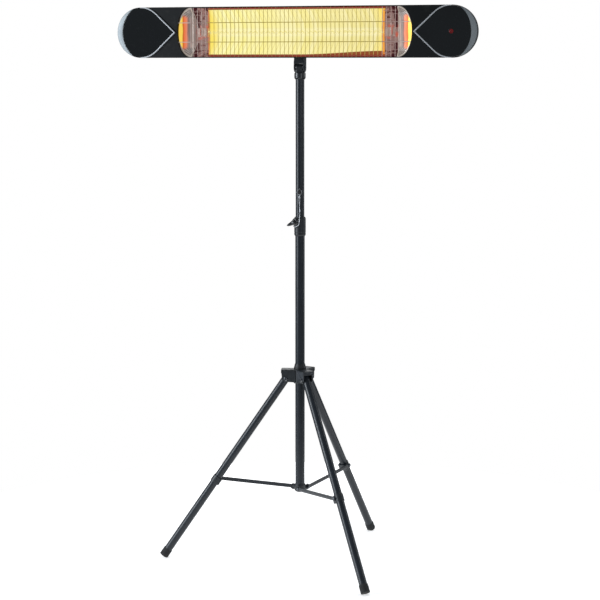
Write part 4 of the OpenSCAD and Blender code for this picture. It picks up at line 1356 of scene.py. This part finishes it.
def tilt_bracket():
    """Pressed fork: two arms folded from the back plate."""
    bow = arc((0, 0), 11.4, 180 - 10, 360 + 10, 30)
    arm = bow + [(11.2, 30), (8.5, 42), (1.5, 80), (-3.9, 80), (-3.9, 43.5), (-10.6, 12)]
    hole = circle((0, 0), BOLT_R + 0.05, 32)
    arm = slab([softened(arm, [0] * 31 + [6, 6, 1, 1, 6, 8], 4), hole], 2.4, 0.6, 2).placed(ALONG_X)
    plate_y = BACK_Y + 0.05
    plate = softened([(-30, 1256), (30, 1256), (30, 1300), (-30, 1300)], 6, 6)
    holes = [circle(p, 2.05, 24) for p in PLATE_SCREWS]
    upright = frame_on((0, plate_y + 2.4, 0), *TO_FRONT)
    bracket = bare_object("fork_mesh", slab([plate, *holes], 2.4, 0.6, 2).placed(upright))
    for start in (10.3, -12.7):
        carve(bracket, arm.moved(x=start, z=TILT_Z), "UNION")
    web = softened([(-12, TILT_Z + 9.6), (12, TILT_Z + 9.6), (12, TILT_Z + 33), (-12, TILT_Z + 33)], 1.5, 3)
    carve(bracket, slab([web], 2, 0.5, 2).placed(frame_on((0, -7.6, 0), *TO_FRONT)), "UNION")
    finished(bracket, "tilt_bracket", "heater", "cast_black")
    screw = cross_screw(2, 3.8, 1.9, 7)
    seats = [(x, plate_y + 2.45, z) for x, z in PLATE_SCREWS]
    set_out("bracket_screws", screw, seats, [(0, 1, 0)] * 4, "heater", "dark_fastener")


def cross_screw(shank, head, height, length):
    """Pan-head screw with a cross recess, seated at z 0."""
    outline = [(0, -length), (shank, -length), (shank, 0.02), (head, 0.02), (head * 0.94, height * 0.55),
               (head * 0.55, height), (0, height)]
    body = bare_object("screw_mesh", turned(softened(outline, [0, 0.3, 0, 0.1, 0.5, 0.6, 0], 3, False), 28))
    for angle in (0, 90):
        bar = slab([rectangle(head * 0.55, 0.35)], 3, 0)
        carve(body, bar.moved(z=height - 0.8).placed(turn("Z", angle)))
    shape = Shape([v.co / MM for v in body.data.vertices], [tuple(p.vertices) for p in body.data.polygons])
    bpy.data.objects.remove(body)
    return shape


# ---- heater ----

def bar_loop(half, steps=40):
    """The heater's outline: a bar with half-round ends."""
    return arc((END_X, 0), half, -90, 90, steps) + arc((-END_X, 0), half, 90, 270, steps)


def facing_front(y):
    """Outlines drawn in X and Z are given thickness towards the front, from this depth."""
    return frame_on((0, y, HEAD_Z), *TO_FRONT)


def bow_x(z, half=WINDOW_HALF):
    """How far the window's bowed end reaches at a height."""
    return BOW_FOOT + BOW_REACH * max(0.0, 1 - (abs(z) / half) ** BOW_POWER) ** (1 / BOW_POWER)


def window_loop(steps=40):
    """The opening in front of the lamp: flat top and bottom, bowed ends."""
    heights = [WINDOW_HALF * math.sin(math.pi / 2 * k / steps) for k in range(-steps, steps + 1)]
    return [(bow_x(z), z) for z in heights] + [(-bow_x(z), z) for z in reversed(heights)]


def housing_shell():
    """Drawn sheet shell: widest at the front rim, softly rounded to its vented back."""
    rim, waist = -50, -12
    outer = [(FRONT_Y + 3, END_R), (rim, END_R), (waist, 50), (BACK_Y, 43)]
    section = softened(outer + [(BACK_Y, 20)], [0.4, 10, 9, 7, 0], 6, closed=False)[:-1]
    wall = 1.5
    inner = [(min(y, BACK_Y - wall), half - wall) for y, half in section[:-1]]
    inner.append((BACK_Y - wall, section[-1][1] - wall))
    loops = section + inner[::-1]
    points, faces = [], []
    size = len(bar_loop(1))
    for y, half in loops:
        points += [(x, y, z + HEAD_Z) for x, z in bar_loop(half)]
    for i in range(len(loops)):
        if i == len(section) - 1:
            continue
        low, high = i * size, ((i + 1) % len(loops)) * size
        for k in range(size):
            n = (k + 1) % size
            faces.append((low + k, high + k, high + n, low + n))
    back_ring = (len(section) - 1) * size
    inner_ring = back_ring + size
    faces.append(tuple(back_ring + k for k in reversed(range(size))))
    faces.append(tuple(inner_ring + k for k in range(size)))
    shell = bare_object("shell_mesh", Shape(points, faces))
    carve(shell, vent_slots())
    openings = rod_y(7.05, -9, 3, 0).moved(x=GLAND_X) + all_of(
        rod_y(1.85, -14, 3, 0, 24).moved(x=x, z=-20) for x in SHELL_SCREWS)
    carve(shell, openings.moved(z=HEAD_Z))
    plate = all_of(rod_y(2.05, -9, 3, 0, 24).moved(x=x, z=z) for x, z in PLATE_SCREWS)
    switch = slab([rectangle(8, 11.5)], 12, 0)
    switch = switch.placed(facing_front(4)).moved(x=SWITCH_X)
    carve(shell, plate + switch)
    finished(shell, "housing_shell", "heater", "shell_black", crease=30)
    screw = cross_screw(1.8, 3.4, 1.75, 8)
    seats = [(x, BACK_Y + 0.05, HEAD_Z - 20) for x in SHELL_SCREWS]
    set_out("housing_screws", screw, seats, [(0, 1, 0)] * 4, "heater", "dark_fastener")


GLAND_X, SWITCH_X = 396, 345
SHELL_SCREWS = (-405, -300, 300, 405)
VENT_PITCH, VENT_W, VENT_LOW, VENT_HIGH = 16, 5, -12, 22


def vent_slots():
    """Round-ended cutters for the two rows of vents, each row 12 slots."""
    half = VENT_W / 2
    end = arc((0, VENT_HIGH - half), half, 0, 180, 8)
    start = arc((0, VENT_LOW + half), half, 180, 360, 8)
    slot = slab([end + start], 12, 0).placed(facing_front(BACK_Y + 4))
    return all_of(slot.moved(x=k * VENT_PITCH) for k in range(-14, 15) if abs(k) > 2)


def front_frame():
    """Pressed front frame with a rolled window edge."""
    shape = slab([bar_loop(END_R), window_loop(), circle((LED_X, 0), LED_HOLE_R, 24)], FRAME_T, 1.1, 3, 0.3)
    piece("front_frame", shape.placed(facing_front(FRONT_Y + FRAME_T)), "heater", "shell_black")


def both_ends(name, shape, slot, finish, crease=34):
    """A piece on the right end and its mirror image on the left."""
    piece(name + "_right", shape, "heater", slot, finish=finish, crease=crease)
    piece(name + "_left", shape.placed(MIRROR), "heater", slot, finish=finish, crease=crease)


def panel_loop():
    """The gloss panel: the drop inside its trim, cut round where the crescent begins."""
    r, trim = CRESCENT_R - 0.05, DROP_R - TRIM_W - 0.05
    apart = DROP_X - CRESCENT_X
    x = (r * r - trim * trim + apart * apart) / (2 * apart)
    a = math.degrees(math.acos(x / r))
    b = math.degrees(math.acos((x - apart) / trim))
    tip = DROP_X - trim / math.sin(DROP_ANGLE)
    shoulder = 90 + math.degrees(DROP_ANGLE)
    low = arc((DROP_X, 0), trim, -shoulder, -b, 20)
    high = arc((DROP_X, 0), trim, b, shoulder, 20)
    outline = [(tip, 0)] + low + arc((CRESCENT_X, 0), r, -a, a, 28)[1:-1] + high
    return softened(outline, [1.2] + [0] * (len(outline) - 1), 3)


def held_in(point):
    """Keeps a point of the right end inside the heater's edge."""
    x, z = point
    rim = END_R - 0.25
    if x <= END_X:
        return (x, max(-rim, min(rim, z)))
    reach = math.hypot(x - END_X, z)
    return (x, z) if reach <= rim else (END_X + (x - END_X) * rim / reach, z * rim / reach)


def end_panels():
    loop = panel_loop()
    hole = circle((LED_X, 0), LED_HOLE_R, 24)
    shape = slab([loop, hole], PANEL_T - 0.05, 1.3, 5, 0.1).placed(facing_front(FRONT_Y - 0.05))
    piece("end_panel_right", shape, "heater", "gloss_panel")
    blank = slab([loop], PANEL_T - 0.05, 1.3, 5, 0.1).placed(facing_front(FRONT_Y - 0.05))
    piece("end_panel_left", blank.placed(MIRROR), "heater", "gloss_panel")
    a = math.degrees(DROP_ANGLE)
    outer_tip = DROP_X - DROP_R / math.sin(DROP_ANGLE)
    inner = DROP_R - TRIM_W
    inner_tip = DROP_X - inner / math.sin(DROP_ANGLE)
    line = [(outer_tip, 0)] + arc((DROP_X, 0), DROP_R, -90 - a, -90, 14)
    line += arc((DROP_X, 0), inner, -90, -90 - a, 14) + [(inner_tip, 0)]
    line += arc((DROP_X, 0), inner, 90 + a, 90, 14) + arc((DROP_X, 0), DROP_R, 90, 90 + a, 14)
    line = [held_in(p) for p in line]
    shape = slab([line], PANEL_T + 0.45, 0.7, 4, 0.1).placed(facing_front(FRONT_Y - 0.05))
    both_ends("trim", shape, "silver_trim", "silver_trim")


def crescent():
    """Silver crescent on the end, sloping back to the heater's edge, with a fine step along its rim."""
    r_out = END_R - 0.3
    apart = CRESCENT_X - END_X
    meet_x = (r_out ** 2 - CRESCENT_R ** 2 + apart ** 2) / (2 * apart)
    half_angle = math.acos(max(-1.0, min(1.0, meet_x / r_out)))
    steps = 56
    levels = [(0, 0.1), (0, 0.9), (0.35, 1.2), (0.8, 1.2), (1.0, 1.5)]
    levels += [(1.0 + 13.0 * s / 6, 1.5 + 1.45 * math.sin(math.pi / 2 * s / 6)) for s in range(1, 7)]
    centre = Vector((END_X, 0))
    points, faces = [], []
    for inset, height in levels:
        for k in range(steps + 1):
            a = -half_angle + 2 * half_angle * k / steps
            edge = Vector((END_X + r_out * math.cos(a), r_out * math.sin(a)))
            p = edge + (centre - edge).normalized() * inset
            reach = CRESCENT_X + math.sqrt(max(0, CRESCENT_R ** 2 - p.y ** 2))
            points.append((max(p.x, reach + 0.02), p.y, height))
    row = steps + 1
    for i in range(len(levels) - 1):
        for k in range(steps):
            a, b = i * row + k, i * row + k + 1
            faces.append((a, b, b + row, a + row))
    # inner wall along the panel's cut, and the flat underside
    top = (len(levels) - 1) * row
    wall_top = len(points)
    for k in range(row):
        x, y, height = points[top + k]
        reach = CRESCENT_X + math.sqrt(max(0, CRESCENT_R ** 2 - y ** 2)) + 0.02
        points.append((reach, y, height))
    wall_low = len(points)
    for k in range(row):
        x, y, height = points[wall_top + k]
        points.append((x, y, 0.1))
    for k in range(steps):
        faces.append((top + k, top + k + 1, wall_top + k + 1, wall_top + k))
        faces.append((wall_top + k, wall_top + k + 1, wall_low + k + 1, wall_low + k))
        faces.append((wall_low + k, wall_low + k + 1, k + 1, k))
    for k in (0, steps):
        rim = [i * row + k for i in range(len(levels))] + [wall_top + k, wall_low + k]
        faces.append(tuple(reversed(rim)) if k else tuple(rim))
    return Shape(points, faces).placed(facing_front(FRONT_Y))


def trough_y(z):
    """The rolled trough's depth at a height; its lips run on flat."""
    return TROUGH_BACK + (TROUGH_FRONT - TROUGH_BACK) * min(1, abs(z) / TROUGH_LIP) ** 2


def reflector():
    """Rolled aluminium trough with turned lips."""
    heights = [TROUGH_LIP * math.sin(math.pi / 2 * k / 24) for k in range(-24, 25)]
    heights = [-TROUGH_TOP] + heights + [TROUGH_TOP]
    face = [(trough_y(z), z) for z in heights]
    back = [(trough_y(z) + 0.9, z) for z in reversed(heights)]
    section = face + back
    points, faces = [], []
    cuts = [-TROUGH_HALF + 2 * TROUGH_HALF * k / 8 for k in range(9)]
    for x in cuts:
        points += [(x, y, z + HEAD_Z) for y, z in section]
    size = len(section)
    for i in range(len(cuts) - 1):
        for k in range(size):
            n = (k + 1) % size
            faces.append((i * size + k, i * size + n, (i + 1) * size + n, (i + 1) * size + k))
    half = len(face)
    for start, flip in ((0, True), ((len(cuts) - 1) * size, False)):
        for k in range(half - 1):
            quad = (start + k, start + k + 1, start + size - 2 - k, start + size - 1 - k)
            faces.append(tuple(reversed(quad)) if flip else quad)
    piece("reflector", Shape(points, faces), "heater", "reflector_mirror")


END_ROWS, END_COLUMNS = 40, 20


def reflector_end():
    """One pressed end: from the window's bowed edge in to the trough, with fan creases in its corners."""
    points, fans = [], []
    top = WINDOW_HALF - 0.4
    for i in range(END_ROWS + 1):
        z = -top + 2 * top * i / END_ROWS
        outer = bow_x(z) - 0.3
        for k in range(END_COLUMNS + 1):
            t = k / END_COLUMNS
            bowl, wall = min(1, t / 0.75), max(0, (t - 0.75) / 0.25)
            x = outer + (TROUGH_HALF + 2.4 - outer) * bowl - 2.1 * wall
            deep = max(-56, min(trough_y(z) - 1, -46))
            y = -55 + (deep + 55) * bowl ** 0.8
            y += (max(deep, trough_y(z) - 1) - deep) * wall
            fan = math.atan2(x - TROUGH_HALF + 8, max(2, top + 4 - abs(z)))
            near_corner = max(0, min(1, (abs(z) - 30) / 12))
            crease = 0.9 * math.sin(fan * 46) * near_corner * min(1, t * 5, (1 - t) * 5)
            points.append((x, y + crease, z + HEAD_Z))
            fans.append(fan)
    return points, fans


def reflector_ends():
    points, fans = reflector_end()
    row, faces = END_COLUMNS + 1, []
    for i in range(END_ROWS):
        for k in range(END_COLUMNS):
            a = i * row + k
            faces.append((a, a + 1, a + row + 1, a + row))
    sheet = Shape(points, faces)
    both = sheet + sheet.placed(MIRROR)
    thing = bare_object("ends_mesh", both, tidy=False)
    store = thing.data.attributes.new("fan", "FLOAT", "POINT")
    store.data.foreach_set("value", fans * 2)
    wall = thing.modifiers.new("wall", "SOLIDIFY")
    wall.thickness = 0.8 * MM
    wall.offset = -1
    settled(thing)
    finished(thing, "reflector_ends", "heater", "reflector_mirror", finish="end_mirror", crease=60)
    rims = Shape()
    rim_half = WINDOW_HALF - 1.6
    post_x = TROUGH_HALF + 2.6
    heights = [24 + (rim_half - 24) * math.sin(math.pi / 2 * k / 24) for k in range(25)]
    for sign in (-1, 1):
        bow = [(bow_x(z, WINDOW_HALF - 1) - 1.5, -57.0, HEAD_Z + sign * z) for z in heights]
        bow.append((post_x + 1, -57.0, HEAD_Z + sign * (rim_half + 0.4)))
        rims += along(bow, [0.4 + 1.5 * min(1, k / 7) for k in range(len(bow))], 10)
    heights = [rim_half * k / 16 for k in range(-16, 17)]
    rims += along([(post_x, min(-47, trough_y(z) - 1.4), HEAD_Z + z) for z in heights], 1.2, 10)
    rims += rims.placed(MIRROR)
    piece("reflector_rims", rims, "heater", "silver_trim", finish="rim_silver", stands_for=())


def lamp():
    tube = ring_of(LAMP_R, LAMP_R - 1, -LAMP_HALF, LAMP_HALF, 0.3, 48)
    piece("quartz_tube", tube.placed(ALONG_X).moved(y=LAMP_Y, z=HEAD_Z), "heater", "quartz")
    maker = Maker("carbon_spiral", {"Turns": 42.0, "Radius": 2.1 * MM, "Length": 2 * (LAMP_HALF - 6) * MM,
                                    "Ribbon": 3.0 * MM, "Thickness": 0.3 * MM}, FINISHES["carbon_glow"])
    spiral = maker.put("GeometryNodeCurveSpiral", None, {
        "Resolution": 20, "Rotations": maker.size("Turns"), "Start Radius": maker.size("Radius"),
        "End Radius": maker.size("Radius"), "Height": maker.size("Length")})
    strip = maker.put("GeometryNodeCurvePrimitiveQuadrilateral", None, {
        "Width": maker.size("Thickness"), "Height": maker.size("Ribbon")})
    solid = maker.put("GeometryNodeCurveToMesh", None, {
        "Curve": spiral.outputs[0], "Profile Curve": strip.outputs[0], "Fill Caps": True})
    lying = maker.put("GeometryNodeTransform", None, {
        "Geometry": solid.outputs[0], "Rotation": (0, math.pi / 2, 0),
        "Translation": (-(LAMP_HALF - 6) * MM, LAMP_Y * MM, HEAD_Z * MM)})
    filament = maker.made(lying.outputs[0], seat_object([(0, 0, 0)]))
    finished(filament, "carbon_filament", "heater", "carbon_glow")
    holder = lamp_holder()
    piece("lamp_holders", holder + holder.placed(MIRROR), "heater", "ceramic")
    brackets = bracket_sheet()
    piece("lamp_brackets", brackets + brackets.placed(MIRROR), "heater", "reflector_mirror",
          finish="lamp_bracket", stands_for=())


def lamp_holder():
    """Ceramic end block: a grooved collar round the tube's pinched end, and its foot."""
    x0 = LAMP_HALF - 8
    block = softened(rectangle(9, 11), 2.5, 4)
    shape = slab([block, circle((0, 0), LAMP_R + 0.05, 36)], 8, 0.7, 2).placed(ALONG_X).moved(x=x0)
    shape += slab([block], 13.4, 0.8, 2).placed(ALONG_X).moved(x=x0 + 8.6)
    shape += ring_of(8.2, LAMP_R + 0.3, 0, 1, 0.3, 40).placed(ALONG_X).moved(x=x0 + 7.8)
    foot = softened(rectangle(3, 8), 0.8, 2)
    shape += slab([foot], 10.5, 0.5, 2).placed(frame_on((LAMP_HALF + 7, 18.9, 0), *TO_FRONT))
    return shape.moved(y=LAMP_Y, z=HEAD_Z)


def bracket_sheet():
    """Folded sheet that carries a lamp holder in front of the trough's end, with slots, bolts and a strap."""
    outline = [(218.9, -43), (252, -43), (252, 43), (218.9, 43), (218.9, 7), (233, 7), (233, -7), (218.9, -7)]
    outline = softened(outline, 1.2, 3)
    cuts = [(241, 250.5, 10, 41), (224, 234, 31, 40), (226, 239, -32.5, -28.5), (242, 250.5, -41, -25),
            (221, 225, -22, -16), (236, 240, 17, 28)]
    slots = [softened([(x0, z0), (x1, z0), (x1, z1), (x0, z1)], 1.6, 3) for x0, x1, z0, z1 in cuts]
    eyes = [circle((231, z), 2.2, 20) for z in (-21, 23)]
    face = slab([outline, *slots, *eyes], 1.2, 0.3, 2).placed(facing_front(-37.6))
    bolt = disc_of(3.6, 0, 1.6, 0.5, 24) + disc_of(1.5, 1, 3.2, 0.4, 20)
    bolts = all_of(bolt.placed(facing_front(-38.8)).moved(x=231, z=z) for z in (-21, 23))
    strap = slab([softened([(219, -12), (238, -12), (238, 12), (219, 12)], 3, 4)], 1.2, 0.4, 2)
    strap = strap.placed(facing_front(-40.2))
    hoop = [(238, -44, z) for z in (24, 8, -6)] + [(234, -44, -11), (222, -44, -11)]
    hoop = along([(x, y, z + HEAD_Z) for x, y, z in hoop], 0.9, 10)
    rails = all_of(along([(220, -50.5, HEAD_Z + z), (250, -50.5, HEAD_Z + z)], 0.8, 10) for z in (49, -49))
    return face + bolts + strap + hoop + rails


def guard_grille():
    """Upright wires welded on two long wires; each crossing has its flattened weld."""
    long_z, wire_r, long_r = 23, 0.72, 0.9
    wire_y = FRONT_Y + FRAME_T + 2
    long_half = bow_x(long_z) + 2
    count = 49
    maker = Maker("guard", {
        "Wires": count, "Pitch": WIRE_PITCH,
        "Wire Radius": wire_r * MM, "Wire Height": 2 * (END_R - 1.7) * MM,
        "Long Radius": long_r * MM, "Long Length": 2 * long_half * MM,
        "Long Height": long_z * MM}, FINISHES["guard_wire"])
    base = (0, wire_y * MM, HEAD_Z * MM)
    upright = maker.put("GeometryNodeMeshCylinder", None, {
        "Vertices": 12, "Radius": maker.size("Wire Radius"), "Depth": maker.size("Wire Height")})
    row = maker.put("GeometryNodeMeshLine", None, {
        "Count": maker.given.outputs["Wires"], "Start Location": (-(count - 1) / 2 * WIRE_PITCH, *base[1:]),
        "Offset": maker.three(maker.size("Pitch"), 0.0, 0.0)})
    wires = maker.put("GeometryNodeInstanceOnPoints", None, {
        "Points": row.outputs[0], "Instance": upright.outputs[0]})
    bar = maker.put("GeometryNodeMeshCylinder", None, {
        "Vertices": 16, "Radius": maker.size("Long Radius"), "Depth": maker.size("Long Length")})
    weld = maker.put("GeometryNodeMeshIcoSphere", None, {"Radius": 1.25 * MM, "Subdivisions": 2})
    parts = [wires.outputs[0]]
    for side in (-1.0, 1.0):
        height = maker.size("Long Height") * side + base[2]
        lying = maker.put("GeometryNodeTransform", None, {
            "Geometry": bar.outputs[0], "Rotation": (0, math.pi / 2, 0),
            "Translation": maker.three(0.0, base[1] + 1.55 * MM, height)})
        crossings = maker.put("GeometryNodeTransform", None, {
            "Geometry": row.outputs[0],
            "Translation": maker.three(0.0, 0.8 * MM, maker.size("Long Height") * side)})
        welds = maker.put("GeometryNodeInstanceOnPoints", None, {
            "Points": crossings.outputs[0], "Instance": weld.outputs[0], "Scale": (0.8, 0.9, 1.0)})
        parts += [lying.outputs[0], welds.outputs[0]]
    guard = maker.made(maker.join(*parts), seat_object([(0, 0, 0)]))
    finished(guard, "guard_grille", "heater", "guard_wire", crease=50)


def indicator():
    low, high = extent("indicator_lens")
    deep = high.y - low.y
    lens = [(0, 0), (3, 0), (3, deep - 1.2), (2.2, deep - 0.3), (0, deep)]
    lens = softened(lens, [0, 0.3, 0.8, 0.6, 0], 4, False)
    lens = turned(lens, 40).placed(facing_front(high.y)).moved(x=LED_X)
    piece("indicator_lens", lens, "heater", "red_lens")


def bezel():
    """Red-tinted ring round the lens; it takes the lens finish, so its inner part also glows with painted
    light from the lens.
    """
    ring = ring_of(5.6, 3.1, 0, 0.9, 0.35, 40).placed(facing_front(FRONT_Y - PANEL_T)).moved(x=LED_X)
    piece("indicator_bezel", ring, "heater", "red_lens", stands_for=())


def gland():
    """Cable gland: flanged body, hexagon nut and domed cap, with an open bore."""
    outline = [(3.6, -16), (7, -16), (7, -10), (10, -10), (10, -5.6), (7, -5.5), (7, -3.95), (10.5, -3.95),
               (10.5, 0), (8.7, 0.2), (8.7, 5.4), (7.6, 5.6), (7.2, 8.6), (5, 12.5), (3.6, 12.5)]
    body = turned(softened(outline, 0.4, 3), 64, True)
    nut = slab([softened(hexagon(10), 0.8, 3), circle((0, 0), 8.2, 40)], 5.2, 0.6, 3).moved(z=0.1)
    shape = (body + nut).placed(frame_on((GLAND_X, 0, HEAD_Z), (1, 0, 0), (0, 1, 0)))
    piece("cable_gland", shape, "heater", "moulded_black")


def switch():
    frame_face = softened(rectangle(10.5, 14), 2, 5)
    opening = softened(rectangle(6.4, 10), 0.8, 3)
    back = frame_on((SWITCH_X, BACK_Y + 0.05, HEAD_Z), (-1, 0, 0), (0, 1, 0))
    shape = slab([frame_face, opening], 2, 0.6, 3, 0.1)
    box = softened(rectangle(7.9, 11.4), 0.8, 3)
    shape += slab([box, opening], 15.9, 0.3, 2).moved(z=-16)
    shape += slab([box], 1.5, 0.3, 2).moved(z=-16.1)
    piece("switch_frame", shape.placed(back), "heater", "moulded_black")
    rocker = [(9.0, -2.6), (8.9, 5.2), (7.4, 6.7), (0, 7.3), (-7.4, 6.7), (-8.9, 5.2), (-9.0, -2.6)]
    rocker = slab([softened(rocker, [0.6, 0.8, 1, 0, 1, 0.8, 0.6], 4)], 12, 0.6, 3)
    # own X is height, own Y is depth; the rocker is pressed in at its top
    place = frame_on((SWITCH_X - 6, -9, HEAD_Z), (0, 0, 1), (1, 0, 0))
    tip = Matrix.Translation((0, -9, HEAD_Z)) @ turn("X", 8) @ Matrix.Translation((0, 9, -HEAD_Z))
    flip = Matrix.Scale(-1, 4, (0, 1, 0))
    piece("power_rocker", rocker.placed(flip).placed(tip @ place), "power_rocker", "gloss_panel")


mast()
clamp()
lock_pin()
hub()
hub_knob()
for side_name, side_azimuth in zip(SIDES, AZIMUTHS):
    leg(side_name, side_azimuth)
    foot(side_name, side_azimuth)
    leg_clip(side_name, side_azimuth)
    brace(side_name, side_azimuth)
bottom_bracket()
head_joint()
tilt_bracket()
housing_shell()
front_frame()
end_panels()
both_ends("crescent", crescent(), "silver_trim", "end_silver", 40)
reflector()
reflector_ends()
lamp()
guard_grille()
indicator()
bezel()
gland()
switch()

# The inner pieces keep their CAD shapes and take their own finishes
for node, finish in (("circuit_board", "board_green"), ("terminal_block", "ceramic"),
                     ("lamp_leads", "lead_sleeve")):
    inner_mesh = frame["nodes"][node].data
    inner_mesh.materials.clear()
    inner_mesh.materials.append(FINISHES[finish])


# ---- floor and light ----

def floor():
    """Round pale studio floor that fades to pure white at its edge."""
    ground = bare_object("floor", Shape([(x, y, 0) for x, y in circle((0, 0), 1100, 96)], [range(96)]))
    f = Finish("pale_floor", **{"Roughness": 0.6, "Specular IOR Level": 0.2})
    x, y = f.axis("X"), f.axis("Y")
    fade = (x * x + y * y).power(0.5).rise(0.45, 1.0)
    f.feed(Base_Color=f.mix(f.grain(3, 2), tone(232, 232, 232), tone(238, 238, 238)))
    f.feed(Emission_Color=f.mix(fade, (0.56, 0.56, 0.56), (1, 1, 1)), Emission_Strength=1.0)
    ground.data.materials.append(f.material)


def softbox(name, place, size, power, colour=(1, 1, 1)):
    """A soft light that faces the middle of the heater."""
    light = bpy.data.lights.new(name, "AREA")
    light.shape = "RECTANGLE"
    light.size, light.size_y = size
    light.energy = power
    light.color = colour
    holder = bpy.data.objects.new(name, light)
    bpy.context.scene.collection.objects.link(holder)
    holder.location = place
    aim = Vector((0, 0, 0.8)) - Vector(place)
    holder.rotation_euler = aim.to_track_quat("-Z", "Y").to_euler()


def studio():
    world = bpy.data.worlds.new("studio")
    bpy.context.scene.world = world
    world.use_nodes = True
    tree = world.node_tree
    tree.nodes.clear()
    out = put(tree, "ShaderNodeOutputWorld")
    room = put(tree, "ShaderNodeBackground", None, {"Color": (0.88, 0.94, 1.0, 1), "Strength": 0.17})
    seen_white = put(tree, "ShaderNodeBackground", None, {"Color": (1, 1, 1, 1), "Strength": 1.0})
    ray = put(tree, "ShaderNodeLightPath")
    both = put(tree, "ShaderNodeMixShader", None, {
        0: ray.outputs["Is Camera Ray"], 1: room.outputs[0], 2: seen_white.outputs[0]})
    tree.links.new(both.outputs[0], out.inputs["Surface"])
    softbox("key", (-3.0, -1.5, 1.9), (0.7, 2.4), 52, (0.93, 0.97, 1.0))
    softbox("stripe", (-2.45, -2.0, 1.1), (0.8, 1.7), 46, (0.84, 0.91, 1.0))
    softbox("fill", (2.6, -2.4, 1.5), (1.6, 1.2), 15, (0.88, 0.93, 1.0))
    softbox("rim", (2.6, 1.2, 1.3), (0.4, 2.2), 14, (0.94, 0.97, 1.0))
    softbox("top", (0.2, 1.5, 3.2), (2.4, 1.6), 38)
    softbox("back", (-1.6, 3.0, 2.0), (1.2, 1.6), 22)
    bpy.context.scene.view_settings.view_transform = "Standard"


floor()
studio()
